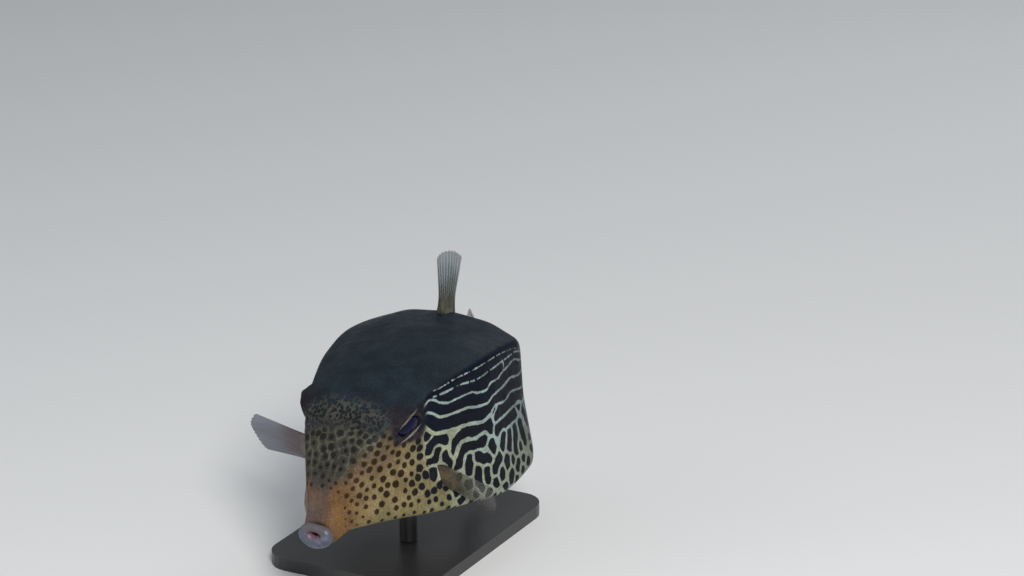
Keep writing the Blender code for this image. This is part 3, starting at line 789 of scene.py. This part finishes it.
def eye_ruler(finish):
    """Where a point lies by the nearer eye, in millimetres from its middle.

    Returns how far along its long way, across it, across it with a small waver, and in all; and last how
    far the point belongs to the tan edge of the upper lid.
    """
    seat = to_model(eye_seat(1)[0])
    midline = float(to_model((0.0, 0.0, 0.0))[0])
    x, y, z = finish.node("SeparateXYZ", "X", Vector=finish.place()).node.outputs
    out = finish.size_of(finish.minus(x, midline))
    folded = finish.node("CombineXYZ", "Vector", X=out, Y=y, Z=z)
    offset = finish.vector("SUBTRACT", i0=folded, i1=(seat[0] - midline, seat[1], seat[2]))
    right, up, _ = photo_axes()
    a, b = EYE_LONG_WAY
    ways = (a * right + b * up, b * right - a * up)
    along, across = [finish.vector("DOT_PRODUCT", "Value", i0=offset, i1=way * (1 / MM)) for way in ways]
    away = finish.vector("LENGTH", "Value", i0=offset)
    uneven = finish.plus(across, finish.waver(900.0, 2.0, 0.22))
    upper = finish.tapered(uneven, -0.76, 0.17, along, 1.2, 3.3)
    return along, across, uneven, finish.times(away, 1 / MM), upper


def skin_finish():
    """Painted skin: ground and dark marks meet at a sharp edge, with fine grain over both."""
    skin = Finish("patterned_skin", Specular_IOR_Level=0.09)
    ground = skin.tint("ground_tint")
    wobble = skin.waver(620.0, 3.0, 0.5)
    in_mark = skin.ramp(skin.plus(skin.number("mark_edge"), wobble), -0.1, 0.12)
    base = skin.mix(in_mark, ground, skin.tint("mark_tint"))
    # thin lines half way between the spots of the face
    line = skin.ramp(skin.plus(skin.number("net_edge"), wobble), 0.26, 0.04)
    lighter = skin.mix(0.38, ground, (0.17, 0.18, 0.115))
    base = skin.mix(skin.times(line, skin.number("pale_net")), base, lighter)
    # the finest marks of the forehead, drawn out into short streaks
    drawn = skin.node("Mapping", "Vector", {"vector_type": "TEXTURE"}, Vector=skin.place(),
                      Scale=(1.0, 2.5, 1.0))
    fine = skin.ramp(skin.cells(1500.0, drawn), 0.42, 0.66)
    base = skin.mix(skin.times(fine, skin.number("streaks")), base, (0.043, 0.044, 0.039))
    # the edges of the lids, where the photo shows them
    along, _, uneven, away, upper = eye_ruler(skin)
    curved = skin.plus(uneven, skin.squared(along, 0.5, 0.033))
    shade = skin.tapered(curved, 1.62, 0.22, along, 0.4, 2.3)
    lower = skin.tapered(curved, 1.97, 0.165, along, -1.0, 3.4)
    close = skin.ramp(away, 5.8, 4.8)
    for stroke, tint in ((upper, LID_TAN), (shade, LID_SHADE), (lower, LID_PALE)):
        base = skin.mix(skin.times(stroke, close), base, tint)
    mottle = skin.ramp(skin.noise(240.0, 4.0), 0.3, 0.7, 0.8, 1.18)
    grain = skin.ramp(skin.noise(2400.0), 0.3, 0.7, 0.8, 1.2)
    base = skin.vector("SCALE", i0=base, Scale=skin.times(mottle, grain))
    height = skin.plus(skin.noise(1500.0, 3.0), skin.times(skin.cells(700.0), 0.6))
    roughness = skin.ramp(skin.noise(500.0), 0.3, 0.7, 0.42, 0.56)
    return skin.use(Base_Color=base, Normal=skin.bump(height, 0.0001, 0.45), Roughness=roughness)


def make_skin():
    surface = Surface()
    brow, beside = carve(surface)
    nearest, border = spot_distances(surface)
    region = regions(surface)
    ground, dark = tints(surface, region, brow)
    mark_edge = mark_edges(surface, region, nearest, border, line_distances(surface))
    pale_net, streaks = fine_marks(surface, region, brow, beside)
    # only what lies inside the mouth is red
    throat = surface.first_body_row - 2
    ground[:throat] = THROAT
    dark[:throat] = THROAT
    mesh = tube_mesh("skin", surface.body)
    add_colours(mesh, ground_tint=ground, mark_tint=dark)
    add_numbers(mesh, mark_edge=mark_edge, net_edge=border, pale_net=pale_net, streaks=streaks)
    unwrap(mesh, surface.body)
    mesh.materials.append(skin_finish())
    return new_piece("skin", mesh)


def unwrap(mesh, grid):
    """A flat map of the skin, opened along the middle of the belly, in even scale all over."""
    rows, columns = grid.shape[:2]
    across = np.linalg.norm(np.roll(grid, -1, axis=1) - grid, axis=2)
    start = columns // 2
    order = (np.arange(columns + 1) + start) % columns
    reach = np.concatenate([np.zeros((rows, 1)), np.cumsum(across[:, order[:-1]], axis=1)], axis=1)
    reach -= reach[:, -1:] / 2
    down = np.concatenate([[0.0], np.cumsum(np.linalg.norm(np.diff(grid, axis=0), axis=2).mean(axis=1))])
    size = max(reach.max() * 2, down[-1]) * 1.02
    layer = mesh.uv_layers.new(name="OFBake")
    position = {int(column): k for k, column in enumerate(order[:-1])}
    uv = np.zeros((len(mesh.loops), 2), np.float32)
    vertex = np.zeros(len(mesh.loops), np.int32)
    mesh.loops.foreach_get("vertex_index", vertex)
    for polygon in mesh.polygons:
        loops = list(polygon.loop_indices)
        known = [vertex[k] for k in loops if vertex[k] < rows * columns]
        places = [position[int(v % columns)] for v in known]
        wraps = max(places) - min(places) > columns // 2
        for k in loops:
            v = int(vertex[k])
            if v >= rows * columns:
                row = int(known[0] // columns)
                spot = sum(columns if wraps and p < columns // 2 else p for p in places) / len(places)
                side = -0.4 if row == 0 else 0.4
                u_value = np.interp(spot, np.arange(columns + 1), reach[row])
                uv[k] = (0.5 + u_value / size, 0.01 + (down[row] + side) / size)
                continue
            row, spot = v // columns, position[v % columns]
            if wraps and spot < columns // 2:
                spot += columns
            uv[k] = (0.5 + reach[row, min(spot, columns)] / size, 0.01 + down[row] / size)
    layer.data.foreach_set("uv", uv.reshape(-1))


def make_lips():
    """A ring of soft lips, thicker below and at the corners, round the small mouth."""
    around, about = 120, 30
    grid = []
    for k in range(around):
        angle = 2 * math.pi * k / around
        corner = math.cos(angle) ** 2
        thick = LIP_THICKNESS * (1.0 - 0.2 * math.sin(angle)) + 0.3 * corner
        width, height = 2.55, 1.55 + 0.12 * math.sin(3 * angle + 0.6)
        path = np.array((width * math.cos(angle), LIP_T, MOUTH_Z + height * math.sin(angle)))
        out = np.array((1.6 * math.cos(angle), 0.0, 2.95 * math.sin(angle)))
        out /= np.linalg.norm(out)
        for j in range(about):
            turn = 2 * math.pi * j / about
            crease = 1 + 0.02 * math.sin(22 * angle + 1.5 * math.sin(3 * angle)) * max(0.0, -math.sin(turn))
            ahead = np.array((0.0, math.sin(turn), 0.0))
            grid.append(path + (out * math.cos(turn) + ahead) * thick * crease)
    mesh = smooth_mesh("lips_soft", grid, ring_faces(around, about, True))
    turn = 2 * np.pi * np.arange(about) / about
    angle = 2 * np.pi * np.arange(around)[:, None] / around
    fields = {
        "inner": np.clip(-np.cos(turn), 0, 1) ** 2,
        "rear": ease(-0.2, 0.6, np.sin(turn)) * ease(-0.7, 0.1, np.cos(turn)),
        "upper": ease(-0.1, 0.8, np.sin(angle)),
        "shaded_right_side": ease(0.2, -0.9, np.cos(angle)),
    }
    add_numbers(mesh, **{name: np.broadcast_to(field, (around, about)) for name, field in fields.items()})
    lip = Finish("moist_lips", Roughness=0.36, Specular_IOR_Level=0.35)
    mottle = lip.ramp(lip.noise(700.0, 4.0), 0.35, 0.68)
    tint = lip.mix(mottle, (0.054, 0.064, 0.094), (0.108, 0.116, 0.158))
    for name, share, over in (
        # painted shade: the lips are darker and bluer on the fish's right side
        ("shaded_right_side", 0.7, (0.058, 0.076, 0.1)),
        ("upper", 0.75, (0.09, 0.074, 0.077)),
        ("inner", 1.0, (0.15, 0.069, 0.086)),
        ("rear", 0.85, (0.13, 0.08, 0.055)),
    ):
        tint = lip.mix(lip.times(lip.number(name), share), tint, over)
    mesh.materials.append(lip.use(Base_Color=tint, Normal=lip.bump(lip.noise(2200.0, 3.0), 0.00008, 0.35)))
    return new_piece("lips_soft", mesh)


FIN_SUNK = 0.16
FanStyle = namedtuple("FanStyle", "rays bulge cup root_half wave sunk")
DORSAL_FAN = FanStyle(9, 1.6, 0.8, 1.15, 0.35, FIN_SUNK)
ANAL_FAN = FanStyle(9, 1.4, 0.6, 1.1, 0.3, FIN_SUNK)
LEFT_FAN = FanStyle(11, 2.2, -1.2, 1.1, 0.5, FIN_SUNK)
RIGHT_FAN = LEFT_FAN._replace(cup=1.2)
CAUDAL_FAN = FanStyle(10, 1.8, 0.9, 1.2, 0.4, 0.0)
FLESHY_SHARE = 0.5
MEMBRANE_HALF = 0.12


class Fan:
    """The middle surface of a fin: u runs from the root to the edge, v from the front ray to the last."""

    def __init__(self, style, corners):
        self.style = style
        places = [np.array((x, t, z), float) for t, x, z in corners]
        self.root_front, self.root_back, self.tip_front, self.tip_back = places
        outward = (self.tip_front + self.tip_back) - (self.root_front + self.root_back)
        self.outward = outward / np.linalg.norm(outward)
        side = np.cross(self.tip_front - self.root_front, self.root_back - self.root_front)
        self.side = side / np.linalg.norm(side)

    def at(self, u, v):
        v = np.atleast_1d(v)
        held = max(u, 0.0)
        root = self.root_front + (self.root_back - self.root_front) * v[:, None]
        scallop = -0.3 * np.abs(np.cos(math.pi * v * self.style.rays))
        reach = self.style.bulge * (1 - (2 * v - 1) ** 2) + scallop
        tip = self.tip_front + (self.tip_back - self.tip_front) * v[:, None] + self.outward * reach[:, None]
        wave = self.style.wave * held ** 1.5 * np.sin(2.2 * math.pi * v + 0.6)
        curl = self.style.cup * np.sin(math.pi * v) * held ** 2 + wave
        return root + (tip - root) * u + self.side * curl[:, None]


def fan_sheet(name, fan):
    """The thin membrane of a fin, thick and fleshy at the root, as one closed sheet."""
    columns = fan.style.rays * 8 + 1
    rows = 26
    us = np.linspace(-fan.style.sunk, 1, rows)
    v = np.linspace(0, 1, columns)
    ridge = np.exp(-(((v * fan.style.rays % 1.0) - 0.5) / 0.17) ** 2)
    ends = np.clip(np.minimum(v, 1 - v) * 14, 0, 1)
    sheets = []
    for face in (1, -1):
        for u in us:
            held = max(u, 0.0)
            fleshy = max(0.0, 1 - held / FLESHY_SHARE) ** 2
            half = MEMBRANE_HALF + (fan.style.root_half - MEMBRANE_HALF) * fleshy
            half = half + 0.06 * ridge * (1 - fleshy)
            half = half * (1 - 0.45 * ease(0.8, 1.0, held)) * (0.35 + 0.65 * np.sqrt(ends))
            sheets.append(fan.at(u, v) + fan.side * (face * half)[:, None])
    back = rows * columns
    faces = []
    for r in range(rows - 1):
        for c in range(columns - 1):
            a = r * columns + c
            faces.append((a, a + 1, a + 1 + columns, a + columns))
            faces.append((back + a + columns, back + a + 1 + columns, back + a + 1, back + a))
    for c in range(columns - 1):
        top = (rows - 1) * columns + c
        faces.append((c + 1, c, back + c, back + c + 1))
        faces.append((top, top + 1, back + top + 1, back + top))
    for r in range(rows - 1):
        a, b = r * columns, r * columns + columns - 1
        faces.append((a, a + columns, back + a + columns, back + a))
        faces.append((b + columns, b, back + b, back + b + columns))
    mesh = smooth_mesh(name, sheets, faces)
    shape = (2 * rows, columns)
    out = np.broadcast_to(np.tile(us, 2)[:, None], shape)
    add_numbers(mesh, out=out, across=np.broadcast_to(v, shape))
    return new_piece(name, mesh)


def ray_tree():
    """Nodes that turn bare lines into tapering rays, each a round rod along its line with flat closed ends.
    """
    tree = bpy.data.node_groups.new("fin_rays", "GeometryNodeTree")
    for name, way, kind in (
        ("Lines", "INPUT", "Geometry"),
        ("Ray radius", "INPUT", "Float"),
        ("Ray sides", "INPUT", "Int"),
        ("Ray finish", "INPUT", "Material"),
        ("Rays", "OUTPUT", "Geometry"),
    ):
        tree.interface.new_socket(name=name, in_out=way, socket_type="NodeSocket" + kind)
    given = tree.nodes.new("NodeGroupInput")
    result = tree.nodes.new("NodeGroupOutput")
    width = tree.nodes.new("ShaderNodeMath")
    kinds = ("MeshToCurve", "InputNamedAttribute", "CurvePrimitiveCircle", "CurveToMesh", "SetShadeSmooth",
             "RealizeInstances", "SetMaterial")
    lines, taper, section, rods, smooth, real, painted = [
        tree.nodes.new("GeometryNode" + kind) for kind in kinds]
    taper.data_type = "FLOAT"
    taper.inputs["Name"].default_value = "taper"
    width.operation = "MULTIPLY"
    section.inputs["Radius"].default_value = 1.0
    rods.inputs["Fill Caps"].default_value = True
    joins = (
        (given, "Lines", lines, "Mesh"),
        (taper, "Attribute", width, 0),
        (given, "Ray radius", width, 1),
        (given, "Ray sides", section, "Resolution"),
        (lines, "Curve", rods, "Curve"),
        (width, "Value", rods, "Scale"),
        (section, "Curve", rods, "Profile Curve"),
        (rods, "Mesh", smooth, "Geometry"),
        (smooth, "Geometry", real, "Geometry"),
        (real, "Geometry", painted, "Geometry"),
        (given, "Ray finish", painted, "Material"),
        (painted, "Geometry", result, "Rays"),
    )
    for start, output, end, goes_to in joins:
        tree.links.new(start.outputs[output], end.inputs[goes_to])
    return tree


def fan_rays(name, fan, tree, finish, radius):
    """The rays of a fin, each forking once on its way to the edge."""
    vertices = []
    edges = []
    tapers = []
    outs = []

    def line(us, vs, first, last):
        start = len(vertices)
        for k, (u, v) in enumerate(zip(us, vs)):
            vertices.append(tuple(to_model(fan.at(float(u), float(v))[0])))
            tapers.append(first + (last - first) * k / (len(us) - 1))
            outs.append(float(u))
        edges.extend((start + k, start + k + 1) for k in range(len(us) - 1))

    points = 14
    for ray in range(fan.style.rays):
        middle = (ray + 0.5) / fan.style.rays
        fork = 0.56 + 0.05 * math.sin(2.1 * ray)
        line(np.linspace(0.1, fork, points), np.full(points, middle), 1.0, 0.8)
        for turn in (1, -1):
            us = np.linspace(fork - 0.03, 0.985, points)
            spread = 0.2 / fan.style.rays * ((us - us[0]) / (us[-1] - us[0])) ** 0.8
            line(us, middle + turn * spread, 0.72, 0.3)
    mesh = bpy.data.meshes.new(name)
    mesh.from_pydata(vertices, edges, [])
    add_numbers(mesh, taper=tapers, out=outs)
    lines = add_object(name + "_lines", mesh)
    maker = lines.modifiers.new("rays", "NODES")
    maker.node_group = tree
    values = {"Ray radius": radius * MM, "Ray sides": 8, "Ray finish": finish}
    for item in tree.interface.items_tree:
        if item.in_out == "INPUT" and item.name in values:
            maker[item.identifier] = values[item.name]
    depsgraph = bpy.context.evaluated_depsgraph_get()
    made = bpy.data.meshes.new_from_object(lines.evaluated_get(depsgraph), depsgraph=depsgraph)
    made.name = name
    bpy.data.objects.remove(lines)
    return new_piece(name, made)


# The colours of a fin: its flesh, its membrane by the flesh and at the edge, and how much of the light the
# membrane stops at these two; its rays at their feet and tips, their radius, and how much light they stop
FinLook = namedtuple(
    "FinLook", "flesh flesh_dark low high stops_low stops_high ray_low ray_high ray_radius ray_stops")
AMBER = FinLook(
    (0.08, 0.075, 0.042), (0.034, 0.034, 0.025), (0.045, 0.05, 0.042), (0.11, 0.143, 0.163), 0.66, 0.4,
    (0.075, 0.07, 0.048), (0.15, 0.185, 0.2), 0.13, 0.8)
EARTHY = FinLook(
    (0.062, 0.045, 0.022), (0.026, 0.019, 0.011), (0.058, 0.055, 0.045), (0.1, 0.105, 0.102), 0.36, 0.22,
    (0.07, 0.045, 0.025), (0.14, 0.13, 0.11), 0.07, 0.45)
ROSY = FinLook(
    (0.18, 0.155, 0.115), (0.11, 0.066, 0.058), (0.132, 0.1, 0.11), (0.168, 0.18, 0.218), 0.82, 0.66,
    (0.165, 0.12, 0.12), (0.175, 0.172, 0.2), 0.12, 0.8)
DUSKY = FinLook(
    (0.03, 0.03, 0.026), (0.01, 0.012, 0.016), (0.1, 0.085, 0.05), (0.2, 0.19, 0.15), 0.8, 0.45,
    (0.05, 0.042, 0.028), (0.13, 0.115, 0.08), 0.16, 0.9)


def membrane_finish(name, look):
    """A fleshy mottled root that thins out into a clear membrane, paler towards its edge."""
    fin = Finish(name, Roughness=0.4, Specular_IOR_Level=0.3)
    mottle = fin.ramp(fin.noise(520.0, 3.0), 0.42, 0.6)
    flesh = fin.mix(mottle, look.flesh_dark, look.flesh)
    out = fin.plus(fin.number("out"), fin.waver(300.0, 2.0, 0.3))
    last_ray = fin.ramp(fin.number("across"), 0.8, 1.0)
    sheet = fin.mix(fin.calculate("MAXIMUM", last_ray, fin.ramp(out, 0.35, 0.75)), look.low, look.high)
    painted = fin.mix(fin.ramp(out, 0.08, 0.4), flesh, sheet)
    thin = fin.ramp(out, 0.08, 0.36, 1.0, look.stops_low)
    thinner = fin.ramp(out, 0.4, 0.9, 0.0, look.stops_low - look.stops_high)
    normal = fin.bump(fin.noise(1800.0), 0.00006, 0.4)
    return fin.use(Base_Color=painted, Alpha=fin.minus(thin, thinner), Normal=normal)


def ray_finish(name, look):
    """Firm fin rays with the close cross joints that soft rays have."""
    ray = Finish(name, Roughness=0.42, Specular_IOR_Level=0.3, Alpha=look.ray_stops)
    joints = ray.ramp(ray.noise(1500.0), 0.4, 0.62)
    painted = ray.mix(ray.ramp(ray.number("out"), 0.3, 0.75), look.ray_low, look.ray_high)
    jointed = ray.mix(ray.times(joints, 0.35), painted, look.ray_low)
    return ray.use(Base_Color=jointed, Normal=ray.bump(joints, 0.00005, 0.4))


def edge_z(t, highest):
    outline = body_outline(t)[:, 1]
    return float(outline.max() if highest else outline.min())


def midline_corners(root, reach, highest):
    roots = [(t, 0, edge_z(t, highest)) for t in root]
    return roots + [(t + back, 0, z + up) for (t, _, z), (back, up) in zip(roots, reach)]


def breast_corners(side, reach):
    roots = [(t, side_x(t, z) * side, z) for t, z in ((28.6, 13.2), (29.6, 7.6))]
    return roots + [(t + back, x + out * side, z + up) for (t, x, z), (out, back, up) in zip(roots, reach)]


def tail_corners():
    x, t, angle = tail_axis(TAIL_LENGTH)
    corners = []
    for distance, half in ((-0.4, 4.3), (13.5, 7.8)):
        for z in (half, -half):
            corners.append((t + math.cos(angle) * distance, x - math.sin(angle) * distance, TAIL_ROOT_Z + z))
    return corners


def make_fins():
    """Every fin as its membrane and its rays, with the node it stands for and the slot of its finish."""
    tree = ray_tree()
    dorsal = midline_corners((55.8, 61.3), ((-0.4, 13.0), (5.6, 11.6)), True)
    anal = midline_corners((60.5, 66.0), ((5.0, -8.4), (8.5, -8.2)), False)
    left = breast_corners(1, ((9.5, 4.0, -5.0), (6.5, 5.0, -6.5)))
    right = breast_corners(-1, ((17.5, 1.5, 3.0), (16.0, 5.0, -1.5)))
    wanted = (
        ("dorsal", "dorsal_fin", "fin_flesh", DORSAL_FAN, dorsal, AMBER),
        ("anal", "anal_fin", "fin_flesh", ANAL_FAN, anal, AMBER),
        ("breast_left", "pectoral_fin_left", "fin_flesh", LEFT_FAN, left, EARTHY),
        ("breast_right", "pectoral_fin_right", "fin_flesh", RIGHT_FAN, right, ROSY),
        ("tail", "caudal_fin", "tail_fin_skin", CAUDAL_FAN, tail_corners(), DUSKY),
    )
    pieces = []
    for label, node, slot, style, corners, look in wanted:
        fan = Fan(style, corners)
        sheet = fan_sheet(label + "_fan", fan)
        sheet.data.materials.append(membrane_finish(label + "_membrane", look))
        rays = fan_rays(label + "_rays", fan, tree, ray_finish(label + "_ray", look), look.ray_radius)
        pieces.append((sheet, rays, node, slot))
    return pieces


def make_eye(side, label):
    """A glossy flattened eye: a long navy pupil with a tan edge above it, in a dark iris."""
    seat, axis = eye_seat(side)
    centre = seat - axis * (EYE_DEPTH - EYE_PROUD)
    mesh = bpy.data.meshes.new("eye_ball_" + label)
    work = bmesh.new()
    bmesh.ops.create_uvsphere(work, u_segments=72, v_segments=48, radius=EYE_RADIUS)
    turn = Vector(axis).to_track_quat("Z", "Y").to_matrix()
    for vertex in work.verts:
        vertex.co.z *= EYE_DEPTH / EYE_RADIUS
        vertex.co = Vector(to_model(centre + np.array(turn @ vertex.co)))
    work.to_mesh(mesh)
    work.free()
    mesh.shade_smooth()
    eye = Finish("eye_gloss_" + label, Roughness=0.07, Specular_IOR_Level=0.13)
    along, across, _, _, upper = eye_ruler(eye)
    mottle = eye.ramp(eye.noise(1400.0, 3.0), 0.35, 0.65)
    painted = eye.mix(mottle, (0.011, 0.007, 0.012), (0.03, 0.019, 0.024))
    under = eye.plus(across, eye.squared(along, 0.9, 0.069))
    pupil = eye.times(eye.ramp(across, -0.64, -0.56), eye.ramp(under, 1.84, 1.72))
    pupil = eye.times(pupil, eye.ramp(eye.size_of(along), 2.95, 2.8))
    painted = eye.mix(pupil, painted, (0.001, 0.0015, 0.021))
    mesh.materials.append(eye.use(Base_Color=eye.mix(upper, painted, LID_TAN)))
    return new_piece("eye_ball_" + label, mesh)


def photo_axes():
    """The way to the right, up, and back out of the photo's view."""
    azimuth, elevation, roll = (math.radians(angle) for angle in CAMERA_ANGLES)
    level = Vector((math.cos(azimuth), math.sin(azimuth), 0))
    flat = math.cos(elevation)
    back = Vector((math.sin(azimuth) * flat, -math.cos(azimuth) * flat, math.sin(elevation)))
    steep = back.cross(level)
    right = level * math.cos(roll) + steep * math.sin(roll)
    up = steep * math.cos(roll) - level * math.sin(roll)
    return right, up, back


def make_camera():
    """The photo's view: from the fish's front left and a little above, framed low and left of the middle."""
    distance = 0.7
    right, up, back = photo_axes()
    target = Vector(to_model((0.0, 40.0, 18.0)))
    across = (AIM_PX[0] - PHOTO_PX[0] / 2) / FOCAL_PX * distance
    rise = -(AIM_PX[1] - PHOTO_PX[1] / 2) / FOCAL_PX * distance
    place = target + back * distance - right * across - up * rise
    camera = bpy.data.cameras.new("camera")
    camera.sensor_width = SENSOR_WIDTH
    camera.lens = FOCAL_PX / PHOTO_PX[0] * SENSOR_WIDTH
    camera.clip_start = 0.01
    holder = add_object("camera", camera)
    turn = Matrix((right, up, back)).transposed().to_4x4()
    holder.matrix_world = Matrix.Translation(place) @ turn
    bpy.context.scene.camera = holder


def make_light(name, place, size, power, tint=(1, 1, 1)):
    """A round lamp that shines at the fish."""
    lamp = bpy.data.lights.new(name, "AREA")
    lamp.shape = "DISK"
    lamp.size = size
    lamp.energy = power
    lamp.color = tint
    holder = add_object(name, lamp)
    holder.location = place
    holder.rotation_euler = (Vector((0, 0, 0.03)) - Vector(place)).to_track_quat("-Z", "Y").to_euler()


def make_stage():
    """A pale floor, a soft room, and three lamps."""
    reach = 4.0
    mesh = bpy.data.meshes.new("floor")
    corners = [(x * reach, y * reach, 0) for x, y in ((-1, -1), (1, -1), (1, 1), (-1, 1))]
    mesh.from_pydata(corners, [], [(0, 1, 2, 3)])
    pale = Finish("pale_floor", Roughness=0.7, Base_Color=(0.72, 0.73, 0.74, 1.0))
    mesh.materials.append(pale.material)
    add_object("floor", mesh)
    world = bpy.data.worlds.new("soft_room")
    world.use_nodes = True
    background = world.node_tree.nodes["Background"]
    background.inputs["Color"].default_value = (0.88, 0.92, 0.97, 1.0)
    background.inputs["Strength"].default_value = 0.36
    bpy.context.scene.world = world
    make_light("key", (0.42, -0.42, 0.5), 0.26, 5.2, (1.0, 0.98, 0.94))
    make_light("fill", (-0.5, -0.45, 0.3), 0.5, 0.8, (0.9, 0.95, 1.0))
    make_light("rim", (0.1, 0.6, 0.45), 0.3, 0.6)
    bpy.context.scene.view_settings.view_transform = "Standard"


def finish_stand():
    """A satin black finish for the stand's own solids."""
    satin = Finish("satin_black_stand", Roughness=0.32)
    grain = satin.noise(1400.0, 3.0)
    black = satin.mix(grain, (0.016, 0.016, 0.018), (0.028, 0.028, 0.03))
    satin.use(Base_Color=black, Normal=satin.bump(grain, 0.00004, 0.3))
    for name in ("stand_base", "stand_rod"):
        for material_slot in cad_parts[name].material_slots:
            material_slot.material = satin.material


def main():
    make_camera()
    make_stage()
    skin = make_skin()
    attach(skin, "root")
    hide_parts("head", "carapace", "tail_peduncle")
    lips = make_lips()
    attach(lips, "root")
    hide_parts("lips")
    for sheet, rays, node, slot in make_fins():
        for piece in (sheet, rays):
            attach(piece, "root")
        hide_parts(node)
    for side, label in ((1, "left"), (-1, "right")):
        eye = make_eye(side, label)
        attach(eye, "root")
        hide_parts("eye_" + label)
    finish_stand()


main()
